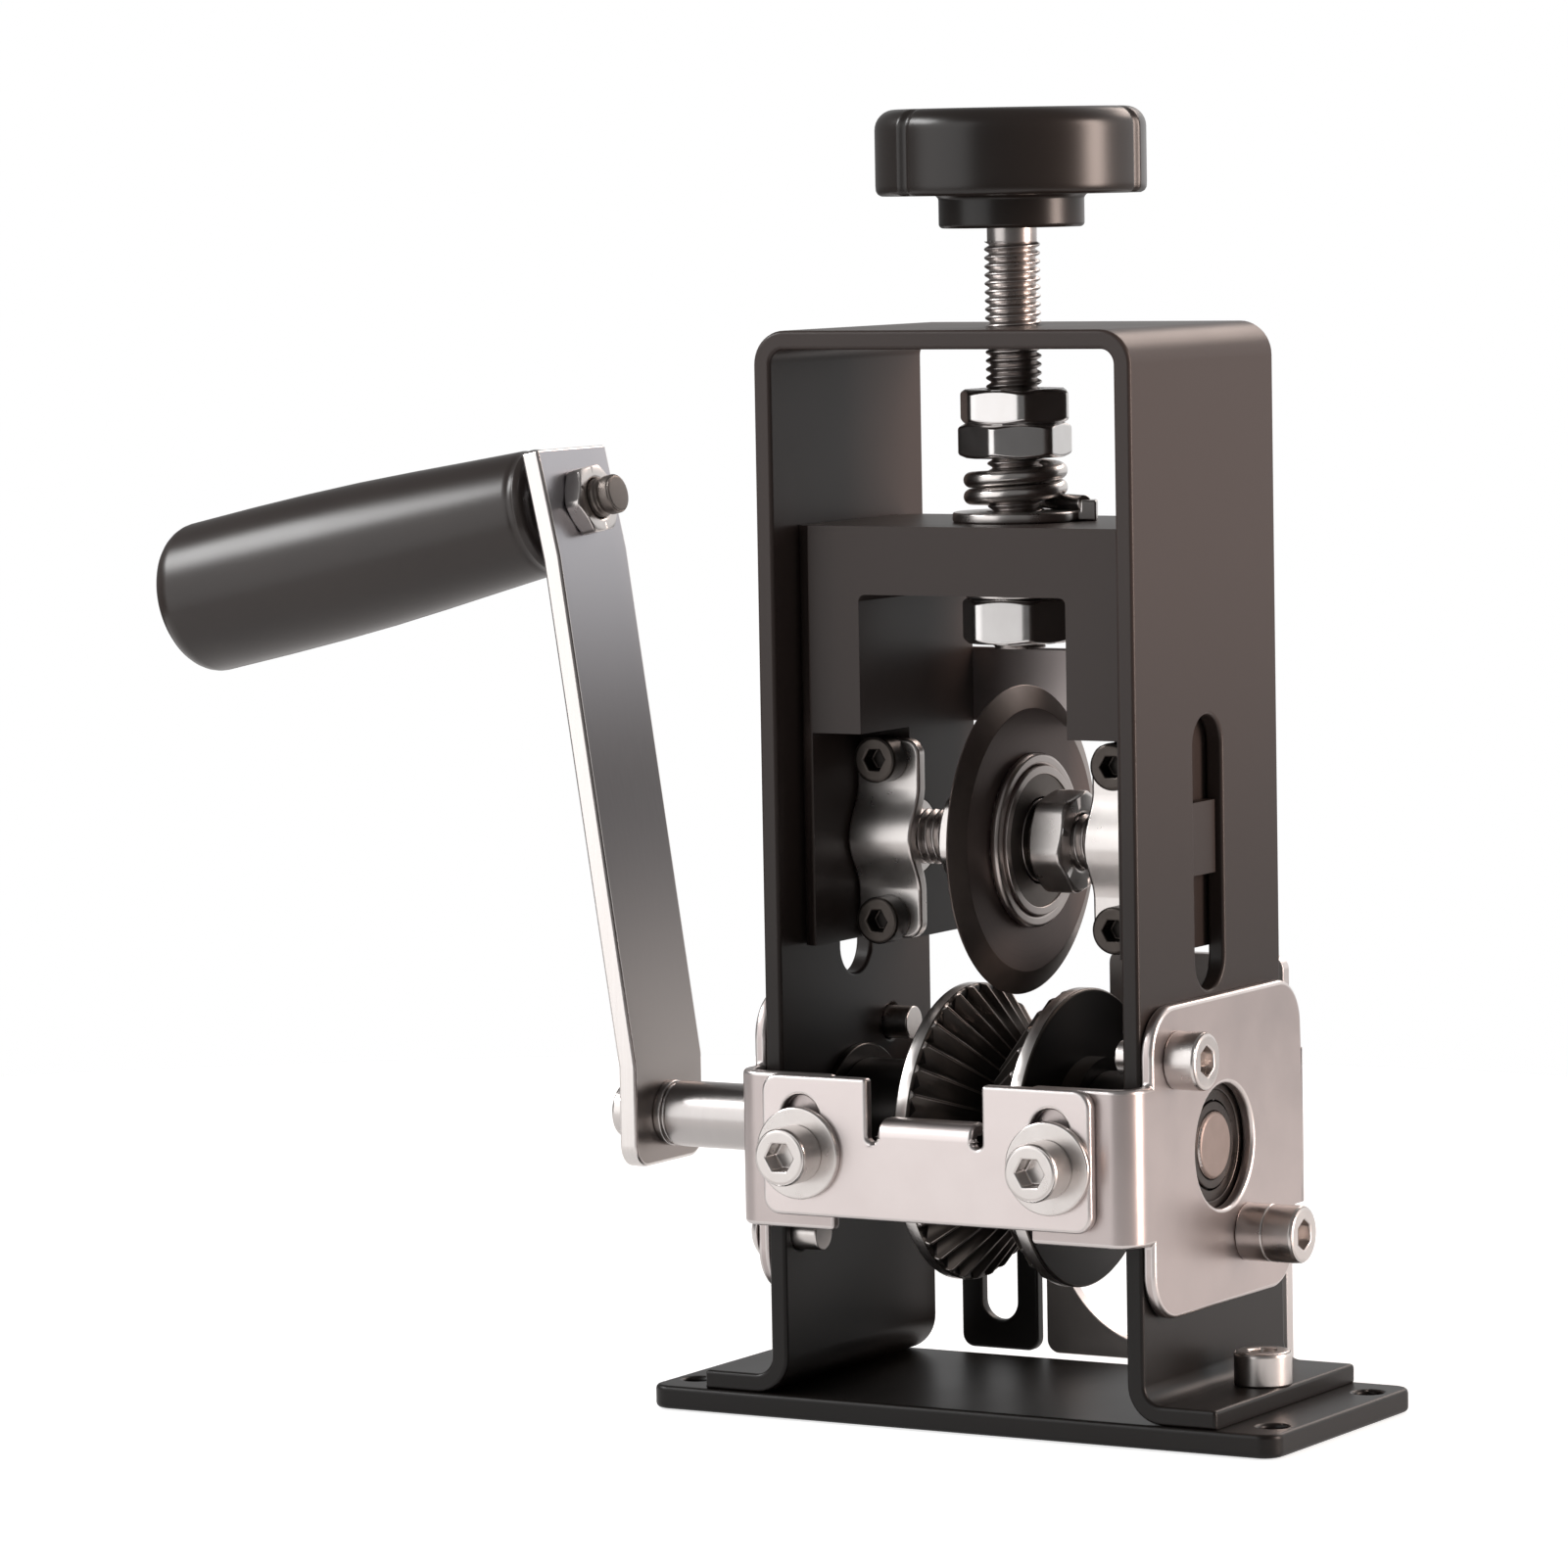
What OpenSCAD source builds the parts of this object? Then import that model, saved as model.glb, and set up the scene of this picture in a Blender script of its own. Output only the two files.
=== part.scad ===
// Manual wire stripping machine.
// A bent steel frame stands on a base plate. A hand crank turns a pair of toothed feed
// discs in its foot. A round blade hangs above them in a carrier, which the knob and
// its screw raise and lower along the slots in the frame's legs.
// The origin is the centre of the base plate's underside. X runs along the shaft,
// Y to the back and Z up.

/* [Base] */
// Width of the base plate
base_w = 104; // [92:1:140]
// Depth of the base plate
base_d = 46; // [44:1:70]
// Thickness of the base plate
base_t = 3.5; // [2.5:0.5:6]
// Corner radius of the base plate
base_corner_r = 3; // [1:0.5:5]
// Diameter of the four bench holes
bench_hole_d = 4.2; // [3.2:0.1:5]
// Distance of the bench holes from the plate's ends
bench_hole_inset = 4; // [3.5:0.5:5]
// Distance of the bench holes from the front and back edges
bench_hole_inset_y = 7.5; // [5:0.5:10]

/* [Frame] */
// Outside width of the frame over its legs
frame_w = 62; // [60:1:72]
// Depth of the frame's strip
frame_d = 45; // [42:1:50]
// Thickness of the frame's strip
frame_t = 2.8; // [2:0.1:3.4]
// Outside radius of the two top bends
top_bend_r = 5; // [4:0.5:8]
// Outside radius of the two foot bends
foot_bend_r = 5.6; // [4:0.1:5.7]
// Length of each foot beyond its leg
foot_out = 11.5; // [10.5:0.5:14]
// Width of the slot in each leg
slot_w = 9; // [7:0.5:12]
// Height of the slot's lower end above the bench
slot_low = 63.8; // [60:0.2:66]
// Height of the slot's upper end above the bench
slot_high = 103.7; // [100:0.2:112]
// Distance of the foot screws from the legs' outer faces
foot_screw_out = 7.2; // [7.1:0.1:8]

/* [Feed discs and shaft] */
// Height of the shaft above the bench
shaft_z = 41; // [38:0.5:44]
// Diameter of the drive shaft
shaft_d = 10; // [8:0.5:11]
// Outside diameter of the feed discs
disc_d = 44; // [40:0.5:46]
// Width over the two feed discs
disc_pair_w = 20.7; // [18:0.1:24]
// Width of the plain rim of each disc
rim_w = 3.1; // [2:0.1:4]
// Diameter at the bottom of the groove between the discs
groove_d = 26.4; // [24:0.2:32]
// Number of teeth of each disc
teeth = 34; // [24:1:40]
// Depth of the teeth at the rim
tooth_depth = 1.7; // [0.8:0.1:2]
// Diameter of the hub on each disc's outer face
disc_hub_d = 24; // [20:0.5:28]
// Position along the shaft where the blade cuts
cut_x = 0.2; // [-1:0.1:1]
// Outside diameter of the shaft's ball bearings
bearing_od = 19; // [18.4:0.1:20]
// Width of the shaft's ball bearings
bearing_w = 4; // [3.4:0.1:5]

/* [Side brackets and guides] */
// Thickness of the side brackets and guide plates
plate_t = 2; // [1.5:0.1:2.5]
// Height of the brackets' lower edge above the bench
bracket_low = 18; // [15:0.5:20]
// Height of the brackets' upper edge above the bench
bracket_high = 63.2; // [62:0.2:66]
// Distance from the shaft to the bends of the front and rear straps
bracket_half = 24.4; // [23.5:0.1:28]
// Distance that the straps reach beyond the side plate's edges before they bend
strap_neck = 2; // [1:0.1:3]
// Outside radius of the bends and distance to the strap's outer face
strap_bend_r = 4.1; // [3.6:0.1:4.5]
// Height of the straps' lower edge above the bench
strap_low = 29.5; // [28:0.5:31]
// Height of the straps' upper edge above the bench
strap_high = 52.3; // [51:0.1:54]
// Distance between the inner ends of two facing straps
strap_gap = 32.8; // [30:0.2:36]
// Distance from each guide screw to the guide plate's end
guide_edge = 6.5; // [5:0.1:8]
// Height of the guide plate
guide_h = 20.6; // [19:0.2:24]
// Height of the guide plate's lower edge above the bench
guide_low = 31.7; // [30.5:0.1:33]
// Width of the wire notch in the guide plate
notch_w = 19; // [12:0.2:22]
// Depth of the wire notch
notch_depth = 8.4; // [6:0.1:10]
// Distance between the two guide screws
guide_pitch = 41.2; // [40:0.2:44]
// Diameter of the round opening in the outlet plate
outlet_d = 36; // [30:0.5:37]

/* [Crank and handle] */
// Distance from the shaft to the handle's stud
crank_throw = 92.6; // [80:0.2:110]
// Width of the crank arm
arm_w = 19.5; // [16:0.5:22]
// Thickness of the crank arm
arm_t = 3; // [2.5:0.1:4]
// Distance from the frame's middle to the arm's inner face
arm_x = 61.5; // [58:0.5:75]
// Lean of the arm's long middle stretch in degrees
arm_lean = 8.6; // [4:0.2:12]
// Droop of the handle in degrees
handle_droop = 12.6; // [9:0.2:15]
// Length of the grip
grip_len = 70; // [50:1:90]
// Largest diameter of the grip
grip_d = 23.6; // [20:0.2:28]
// Diameter of the grip beside the arm
grip_neck_d = 19.4; // [17:0.2:23]
// Diameter of the handle's stud
stud_d = 6; // [5:0.5:7]

/* [Blade and carrier] */
// Diameter of the round blade
blade_d = 45.5; // [40:0.5:48]
// Thickness of the blade
blade_t = 3; // [2:0.1:4]
// Width of the bevel on each side of the blade
bevel_w = 3.4; // [2:0.1:5]
// Depth that the blade's edge dips below the top of the feed discs
blade_dip = 1.15; // [0.5:0.05:2]
// Diameter of the threaded blade axle
axle_d = 8; // [7:0.5:8.5]
// Outside diameter of the hub that holds the blade
hub_d = 25.8; // [24:0.2:29]
// Depth of the carrier from front to back
carrier_d = 34; // [32:0.5:38]
// Thickness of the carrier's top bar
bar_t = 10; // [8:0.5:12]
// Height of the carrier's top above the blade's axle
carrier_up = 46.8; // [45:0.2:50]
// Width of the window between the carrier's legs
window_w = 34.2; // [32:0.2:38]
// Width of the axle caps
cap_w = 10.6; // [9:0.2:10.8]
// Thickness of the axle caps
cap_t = 2.2; // [1.6:0.1:2.5]
// Distance between the two screws of an axle cap
cap_pitch = 23.8; // [22.6:0.2:24.2]

/* [Adjusting screw] */
// Clear height between the jam nuts and the underside of the frame's top
lift_room = 6.4; // [6.2:0.1:20]
// Diameter of the adjusting screw
screw_d = 8; // [6:0.5:8.5]
// Clear height from the frame's top to the knob's hub
knob_lift = 14.3; // [12:0.1:24]
// Diameter of the knob
knob_d = 39.6; // [32:0.2:46]
// Height of the knob's wheel
knob_h = 12.6; // [10:0.2:18]
// Diameter of the knob's hub
knob_hub_d = 21.3; // [16:0.1:24]
// Height of the knob's hub
knob_hub_h = 4.8; // [3:0.1:8]
// Number of lobes of the knob
knob_lobes = 3; // [3:1:6]
// Width across the flats of the large nuts
nut_af = 15; // [13:0.1:15.4]
// Height of each jam nut
jam_nut_h = 5; // [4:0.1:5.4]
// Outside diameter of the spring
spring_od = 15.3; // [14:0.1:16]
// Thickness of the spring's wire
spring_wire = 2.4; // [1.6:0.1:2.4]
// Height of the spring as fitted
spring_h = 7.9; // [7.2:0.1:8.4]
// Outside diameter of the spring's seat washer
seat_d = 18.6; // [18:0.2:20]

/* [Fasteners] */
// Diameter of the small machine screws
bolt_d = 5; // [4:0.5:5]
// Diameter of their heads
bolt_head_d = 8.5; // [8.2:0.1:9]
// Height of their heads
bolt_head_h = 5; // [4:0.5:6]
// Width across the flats of their nuts
bolt_nut_af = 8; // [7:0.1:8]
// Diameter of the washers under the guide screws
washer_d = 13.5; // [11:0.5:14]

/* [Hidden] */

$fn = 64;
// Radial room of a running or threaded fit, and of a clearance hole
run = 0.05;
loose = 0.25;
// Overrun of a cutter past the face it opens
over = 1;

leg_out = frame_w / 2;
leg_in = leg_out - frame_t;
foot_screw_x = leg_out + foot_screw_out;
foot_screw_y = 1;
foot_top = base_t + frame_t;
bracket_out = leg_out + plate_t;
strap_out = bracket_half + strap_bend_r;
strap_in = strap_out - plate_t;
strap_end = strap_gap / 2;
guide_screw_z = guide_low + guide_h / 2 - 1;
guide_slot_w = bolt_d + 1;
guide_slot_rise = 5.4;
guide_corner_r = 2.6;
guide_w = guide_pitch + 2 * guide_edge;
guide_slot_drop = 2;
rear_screws_at = [[guide_pitch / 2, 46], [-guide_pitch / 2, guide_screw_z]];
rear_plate_low = 3.2;
rear_stay_w = 13.2;
bolt_nut_h = 4;
washer_t = 1.2;
bolt_socket_af = 4;

bracket_corner_r = 7;
rear_rise = 0.8;
window_d = 18.2;
right_upper_screw = [-14.9, 55.3];
right_lower_screw = [6.8, 27.6];
left_upper_screw = [10, 55.3];
left_lower_screw = [-18, 27.2];
collar_h = 4.3;
bracket_screw_out = 4;
button_d = 9.5;
button_h = 2.7;
button_socket_af = 3;

bearing_flange_w = 2.7;
bearing_flange_d = bearing_od + 2 * bearing_flange_w;
bearing_in = leg_out - bearing_w;
shield_t = 0.3;
race_t = 1.4;
ball_bite = 0.6;
race_in_d = shaft_d + 2 * race_t;
race_out_d = bearing_od - 2 * race_t;
ball_d = (race_out_d - race_in_d) / 2 + ball_bite;
ball_circle_r = (race_out_d + race_in_d) / 4;
shaft_balls = 9;
shaft_end = leg_out + 0.5;

disc_half = disc_pair_w / 2;
disc_hub_t = 3;
rim_step = 0.4;
scallop = 0.65;
spacer_d = 20;

arm_foot = 7.5;
arm_boss = 8;
arm_square = 7.6;
arm_end = 8.3;
crank_screw_bite = 9;
handle_z = shaft_z + crank_throw;
handle_x = -arm_x - (handle_z - arm_square - shaft_z - arm_boss) * tan(arm_lean)
    - arm_square * tan(handle_droop);
handle_washer_t = 1.2;
handle_nut_h = 3;
handle_nut_af = 10;
nut_side = 6.6;
stud_collar_d = 10.5;
stud_collar_t = 3;
collar_room_d = stud_collar_d + 1;
grip_z = arm_t + handle_washer_t + 0.4;
stud_len = grip_len * 0.85;

blade_r = blade_d / 2;
blade_z = shaft_z + disc_d / 2 + blade_r - blade_dip;
hub_lip_t = 1.5;
hub_lip_w = 0.9;
hub_wall = 1;
hub_half = blade_t / 2 + hub_lip_t;
sleeve_d = hub_d - 2 * hub_lip_w;
blade_bearing_od = sleeve_d - 2 * hub_wall;
blade_bearing_w = 7;
blade_race_out_t = 1.2;
blade_race_in_t = 2.2;
blade_race_out_d = blade_bearing_od - 2 * blade_race_out_t;
blade_race_in_d = axle_d + 2 * blade_race_in_t;
blade_ball_d = (blade_race_out_d - blade_race_in_d) / 2 + ball_bite;
blade_ball_r = (blade_race_out_d + blade_race_in_d) / 4;
blade_balls = 7;
axle_nut_af = 14;
axle_nut_h = 5.5;
axle_spacer_t = 1.3;
axle_spacer_w = 1.8;

carrier_half = leg_in - 0.3;
carrier_top = blade_z + carrier_up;
block_in = window_w / 2;
cheek_in = carrier_half - 2.7;
cap_ear = 2.9;
cap_h = cap_pitch + 2 * cap_ear;
step_z = blade_z + cap_h / 2 + 1.6;
carrier_corner_r = 2.5;
window_corner_r = 1;
saddle_y = -2.6;
collar_d = 11;
cap_bulge = 3;
cap_bolt_d = 4;
cap_head_d = 7;
cap_head_h = 4;
lug_h = 10.6;
lug_rise = 1.2;
lug_half = slot_w / 2 - 0.6;
lug_out = leg_out - 1;
cap_x = cheek_in - 0.2 - cap_w / 2;
cap_screw_bite = 8;
carrier_low = blade_z - cap_h / 2 - 0.2;
stay_t = 1.5;
stay_h = 11.1;
stay_half = 24;
stay_room = 0.7;
stay_low = blade_z + sqrt(blade_r * blade_r - carrier_d * carrier_d / 4) + stay_room;
stay_screw_x = 21;
stay_screw_z = stay_low + stay_h / 2;
stay_screw_bite = 6;

seat_t = 1.5;
spring_z = carrier_top + seat_t;
nuts_z = spring_z + spring_h;
frame_h = nuts_z + 2 * jam_nut_h + lift_room + frame_t;
thrust_t = 1;
retaining_nut_h = 6.6;
float_gap = 0.1;
screw_tail = 0.8;
screw_in_knob = 7;
screw_low = carrier_top - bar_t - thrust_t - float_gap - retaining_nut_h - screw_tail;
spring_turns = 2.2;
spring_steps = 24;
spring_start = 62;
tail_step = 1.5;
knob_z = frame_h + knob_lift;
knob_edge_r = 3;
knob_turn = 6.6;
knob_groove_r = 2.2;
knob_groove_depth = 0.8;

black_paint = "#3b3836";
satin_steel = "#c3bab6";
bright_steel = "#d3d3d6";
dark_steel = "#4a4341";
black_oxide = "#26231f";
black_plastic = "#2b2a29";

// Round bar along X from a to b
module bar_x(d, a, b, y = 0, z = 0) {
    translate([a, y, z]) rotate([0, 90, 0]) cylinder(d = d, h = b - a);
}

// Round bar along Y from a to b
module bar_y(d, a, b, x = 0, z = 0) {
    translate([x, a, z]) rotate([-90, 0, 0]) cylinder(d = d, h = b - a);
}

// Shape of revolution about the X axis, from points [radius, x]
module turned_x(points) {
    rotate([0, 90, 0]) rotate_extrude() polygon(points);
}

// Plate outline in the XY plane with four round corners
module round_plate(w, h, t, r) {
    linear_extrude(t) {
        translate([r, 0]) square([w - 2 * r, h]);
        translate([0, r]) square([w, h - 2 * r]);
        for (x = [r, w - r], y = [r, h - r]) translate([x, y]) circle(r);
    }
}

// Slot of width w with round ends, its end centres at 0 and at length on Y
module slot_cut(w, length, t) {
    cylinder(d = w, h = t);
    translate([0, length, 0]) cylinder(d = w, h = t);
    translate([-w / 2, 0, 0]) cube([w, length, t]);
}

// Socket head screw, head above z = 0 and shank below
module socket_screw(d, head_d, head_h, shank, af) {
    edge = head_h * 0.08;
    difference() {
        rotate_extrude() polygon([[0, 0], [head_d / 2, 0], [head_d / 2, head_h - edge],
            [head_d / 2 - edge, head_h], [0, head_h]]);
        translate([0, 0, head_h * 0.4]) cylinder(d = af / cos(30), h = head_h, $fn = 6);
    }
    translate([0, 0, -shank]) cylinder(d = d, h = shank + head_h * 0.2);
}

// Small machine screw with the proportions of the fastener section
module bolt(shank) {
    socket_screw(bolt_d, bolt_head_d, bolt_head_h, shank, bolt_socket_af);
}

// Hexagonal nut on z = 0 with both faces chamfered
module hex_nut(af, h, bore) {
    across = af / cos(30);
    edge = (across - af) * 0.3;
    difference() {
        intersection() {
            cylinder(d = across, h = h, $fn = 6);
            rotate_extrude() polygon([[0, 0], [across / 2 - 2 * edge, 0],
                [across / 2, edge], [across / 2, h - edge],
                [across / 2 - 2 * edge, h], [0, h]]);
        }
        translate([0, 0, -over]) cylinder(d = bore, h = h + 2 * over);
    }
}

// Flat ring on z = 0
module ring(outer, inner, t) {
    difference() {
        cylinder(d = outer, h = t);
        translate([0, 0, -over]) cylinder(d = inner, h = t + 2 * over);
    }
}

// Circle of balls of a bearing, with the bearing's axis on Z
module ball_ring(count, circle_r, d) {
    for (i = [0:count - 1]) rotate(i * 360 / count) translate([circle_r, 0, 0])
        sphere(d = d, $fn = 24);
}

// Ball groove of a bearing, with the bearing's axis on Z
module ball_groove(circle_r, d) {
    rotate_extrude() translate([circle_r, 0]) circle(d = d + 2 * run, $fn = 32);
}

// Quarter of a bent strip seen from the side, bend centre at 0
module bend(outer_r, t) {
    intersection() {
        difference() {
            circle(outer_r);
            circle(outer_r - t);
        }
        square(outer_r);
    }
}

module base_plate() {
    color(black_paint) difference() {
        translate([-base_w / 2, -base_d / 2, 0]) round_plate(base_w, base_d, base_t, base_corner_r);
        for (sx = [-1, 1], sy = [-1, 1])
            translate([sx * (base_w / 2 - bench_hole_inset),
                sy * (base_d / 2 - bench_hole_inset_y), -over])
                cylinder(d = bench_hole_d, h = base_t + 2 * over);
        for (sx = [-1, 1]) translate([sx * foot_screw_x, foot_screw_y, -over])
            cylinder(d = bolt_d + 2 * run, h = base_t + 2 * over);
    }
}

// Half of the frame's outline, from the middle of the top to the foot
module frame_half_outline() {
    foot_end = leg_out + foot_out;
    foot_inner_r = foot_bend_r - frame_t;
    top_z = frame_h - top_bend_r;
    translate([0, frame_h - frame_t]) square([leg_out - top_bend_r, frame_t]);
    translate([leg_out - top_bend_r, top_z]) bend(top_bend_r, frame_t);
    translate([leg_in, base_t + foot_bend_r]) square([frame_t, top_z - base_t - foot_bend_r]);
    translate([leg_in + foot_bend_r, base_t + foot_bend_r]) rotate(180) bend(foot_bend_r, frame_t);
    translate([leg_out + foot_inner_r, base_t]) square([foot_end - leg_out - foot_inner_r, frame_t]);
}

module frame() {
    color(black_paint) difference() {
        translate([0, frame_d / 2, 0]) rotate([90, 0, 0]) linear_extrude(frame_d) {
            frame_half_outline();
            mirror([1, 0]) frame_half_outline();
        }
        translate([0, 0, frame_h - frame_t - over])
            cylinder(d = screw_d + 2 * run, h = frame_t + 2 * over);
        for (s = [-1, 1]) {
            translate([s * leg_in - frame_t, 0, slot_low + slot_w / 2])
                rotate([90, 0, 90]) slot_cut(slot_w, slot_high - slot_low - slot_w, 2 * frame_t);
            translate([s * foot_screw_x, foot_screw_y, 0])
                cylinder(d = bolt_d + 2 * loose, h = foot_top + over);
            bar_x(bearing_od + 2 * run, s * leg_in - frame_t, s * leg_in + frame_t, 0, shaft_z);
        }
        for (p = [right_upper_screw, right_lower_screw])
            bar_x(bolt_d + 2 * run, leg_in - over, leg_out + over, p[0], p[1]);
        for (p = [left_upper_screw, left_lower_screw])
            bar_x(bolt_d + 2 * run, -leg_out - over, -leg_in + over, p[0], p[1]);
    }
}

module foot_screws() {
    color(bright_steel) for (s = [-1, 1]) translate([s * foot_screw_x, foot_screw_y, foot_top])
        bolt(foot_top - 0.3);
}

// One bracket on the right leg: side plate, strap bent round to the front, strap to the back
module bracket(screws, rear_hole_z) {
    plate_half = bracket_half - strap_neck;
    strap_h = strap_high - strap_low;
    strap_len = bracket_out - strap_bend_r - strap_end;
    difference() {
        union() {
            translate([leg_out, -plate_half, bracket_low]) rotate([90, 0, 90])
                round_plate(2 * plate_half, bracket_high - bracket_low, plate_t, bracket_corner_r);
            translate([leg_out, -plate_half, strap_low]) rotate([90, 0, 90])
                round_plate(plate_half + bracket_half + rear_rise, bracket_high - strap_low,
                    plate_t, bracket_corner_r);
            for (sy = [-1, 1]) translate([bracket_out - strap_bend_r, sy * bracket_half, strap_low]) {
                linear_extrude(strap_h) mirror([0, (1 - sy) / 2]) bend(strap_bend_r, plate_t);
                translate([-strap_len, sy > 0 ? strap_bend_r - plate_t : -strap_bend_r, 0])
                    cube([strap_len, plate_t, strap_h]);
            }
            translate([leg_out, -bracket_half, strap_low])
                cube([plate_t, 2 * bracket_half, strap_h]);
        }
        bar_x(window_d, leg_out - over, bracket_out + over, 0, shaft_z);
        for (p = screws)
            bar_x(bolt_d + 2 * loose, leg_out - over, bracket_out + over, p[0], p[1]);
        bar_y(bolt_d + 2 * loose, -strap_out - over, -strap_in + over, guide_pitch / 2,
            guide_screw_z);
        bar_y(bolt_d + 2 * loose, strap_in - over, strap_out + over, guide_pitch / 2, rear_hole_z);
    }
}

module right_bracket() {
    color(satin_steel) bracket([right_upper_screw, right_lower_screw], rear_screws_at[0][1]);
}

module left_bracket() {
    color(satin_steel) mirror([1, 0, 0])
        bracket([left_upper_screw, left_lower_screw], rear_screws_at[1][1]);
}

module right_bracket_screws() {
    shank = plate_t + frame_t + bracket_screw_out;
    color(bright_steel) {
        translate([bracket_out, right_upper_screw[0], right_upper_screw[1]])
            rotate([0, 90, 0]) bolt(shank);
        translate([bracket_out + collar_h, right_lower_screw[0], right_lower_screw[1]])
            rotate([0, 90, 0]) bolt(shank + collar_h);
    }
}

// Button head screws, the head a cap of a ball
module left_bracket_screws() {
    button_r = (button_d * button_d / 4 + button_h * button_h) / (2 * button_h);
    color(bright_steel) for (p = [left_upper_screw, left_lower_screw])
        translate([-bracket_out, p[0], p[1]]) rotate([0, -90, 0]) {
            difference() {
                intersection() {
                    translate([0, 0, button_h - button_r]) sphere(button_r);
                    cylinder(d = button_d + 2 * over, h = button_h + over);
                }
                translate([0, 0, button_h * 0.4])
                    cylinder(d = button_socket_af / cos(30), h = button_h, $fn = 6);
            }
            translate([0, 0, -plate_t - frame_t - bracket_screw_out])
                cylinder(d = bolt_d, h = plate_t + frame_t + bracket_screw_out + button_h * 0.2);
        }
}

module spacer_collar() {
    color(bright_steel) translate([bracket_out, right_lower_screw[0], right_lower_screw[1]])
        rotate([0, 90, 0]) ring(bolt_head_d, bolt_d + 2 * loose, collar_h);
}

// Front guide plate: notch for the wire, its edge rolled back, and two slots for the screws
module guide_plate() {
    top = guide_low + guide_h;
    lip_z = top - notch_depth;
    lip_w = notch_w - 3.4;
    lip_r = 2.6;
    color(satin_steel) {
        difference() {
            translate([-guide_w / 2, -strap_out, guide_low]) rotate([90, 0, 0])
                round_plate(guide_w, guide_h, plate_t, guide_corner_r);
            translate([-notch_w / 2, -strap_out - plate_t - over, lip_z])
                cube([notch_w, plate_t + 2 * over, notch_depth + over]);
            for (s = [-1, 1])
                bar_y(1.6, -strap_out - plate_t - over, -strap_out + over,
                    s * (notch_w / 2 - 0.8), lip_z);
            for (s = [-1, 1])
                translate([s * guide_pitch / 2, -strap_out + over, guide_screw_z - guide_slot_drop])
                    rotate([90, 0, 0])
                    slot_cut(guide_slot_w, guide_slot_drop + guide_slot_rise, plate_t + 2 * over);
        }
        translate([-lip_w / 2, -strap_out - plate_t + lip_r, lip_z]) rotate([90, 0, 90])
            linear_extrude(lip_w) mirror([1, 0]) bend(lip_r, plate_t);
        translate([-lip_w / 2, -strap_out - plate_t + lip_r, lip_z + lip_r - plate_t])
            cube([lip_w, 1.6, plate_t]);
    }
}

module guide_screws() {
    color(bright_steel) for (s = [-1, 1])
        translate([s * guide_pitch / 2, -strap_out - plate_t - washer_t, guide_screw_z])
            rotate([90, 0, 0]) bolt(2 * plate_t + washer_t + bolt_nut_h + 0.8);
}

module guide_washers() {
    color(bright_steel) for (s = [-1, 1])
        translate([s * guide_pitch / 2, -strap_out - plate_t, guide_screw_z])
            rotate([90, 0, 0]) ring(washer_d, bolt_d + 2 * loose, washer_t);
}

module guide_nuts() {
    color(bright_steel) for (s = [-1, 1])
        translate([s * guide_pitch / 2, -strap_in, guide_screw_z])
            rotate([-90, 0, 0]) hex_nut(bolt_nut_af, bolt_nut_h, bolt_d + 2 * run);
}

// Plate behind the discs with the large round opening where the stripped wire leaves
module outlet_plate() {
    wall = 1.9;
    hole_r = outlet_d / 2;
    left = rear_stay_w / 2 - guide_pitch / 2 + 1.6;
    hole_x = left + wall + hole_r;
    hole_z = rear_plate_low + wall + hole_r;
    right = hole_x + hole_r + wall + 1;
    shoulder = strap_high - 0.3;
    ear_left = -0.8;
    ear_h = 13.4;
    ear_root = 10;
    color(satin_steel) difference() {
        union() {
            translate([left, strap_out + plate_t, rear_plate_low]) rotate([90, 0, 0])
                round_plate(right - left, shoulder - rear_plate_low, plate_t, 2);
            translate([ear_left, strap_out + plate_t, shoulder - ear_root]) rotate([90, 0, 0])
                round_plate(right - ear_left, ear_h + ear_root, plate_t, 2);
        }
        bar_y(outlet_d, strap_out - over, strap_out + plate_t + over, hole_x, hole_z);
        bar_y(bolt_d + 2 * loose, strap_out - over, strap_out + plate_t + over,
            rear_screws_at[0][0], rear_screws_at[0][1]);
    }
}

// Slotted black plate on the left rear strap
module rear_stay() {
    slot_foot = 7.6;
    slot_x = -guide_pitch / 2;
    color(black_paint) difference() {
        translate([slot_x - rear_stay_w / 2, strap_out + plate_t, rear_plate_low])
            rotate([90, 0, 0]) round_plate(rear_stay_w, strap_high - rear_plate_low, plate_t, 2);
        translate([slot_x, strap_out + plate_t + over, slot_foot + guide_slot_w / 2])
            rotate([90, 0, 0])
            slot_cut(guide_slot_w, guide_screw_z + 2 - slot_foot - guide_slot_w / 2, plate_t + 2 * over);
    }
}

module rear_screws() {
    color(bright_steel) for (p = rear_screws_at)
        translate([p[0], strap_out + plate_t + washer_t, p[1]])
            rotate([-90, 0, 0]) bolt(2 * plate_t + washer_t + bolt_nut_h + 0.8);
}

module rear_washers() {
    color(bright_steel) for (p = rear_screws_at)
        translate([p[0], strap_out + plate_t, p[1]])
            rotate([-90, 0, 0]) ring(washer_d, bolt_d + 2 * loose, washer_t);
}

module rear_nuts() {
    color(bright_steel) for (p = rear_screws_at)
        translate([p[0], strap_in, p[1]])
            rotate([90, 0, 0]) hex_nut(bolt_nut_af, bolt_nut_h, bolt_d + 2 * run);
}

// Rings, balls and shields of a ball bearing, its axis on X and its middle at x = 0
module bearing_outer(od, race_d, w, circle_r, d) {
    difference() {
        translate([-w / 2, 0, 0]) rotate([0, 90, 0]) ring(od, race_d, w);
        rotate([0, 90, 0]) ball_groove(circle_r, d);
    }
}

module bearing_inner(race_d, bore, w, circle_r, d) {
    difference() {
        translate([-w / 2, 0, 0]) rotate([0, 90, 0]) ring(race_d, bore, w);
        rotate([0, 90, 0]) ball_groove(circle_r, d);
    }
}

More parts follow.
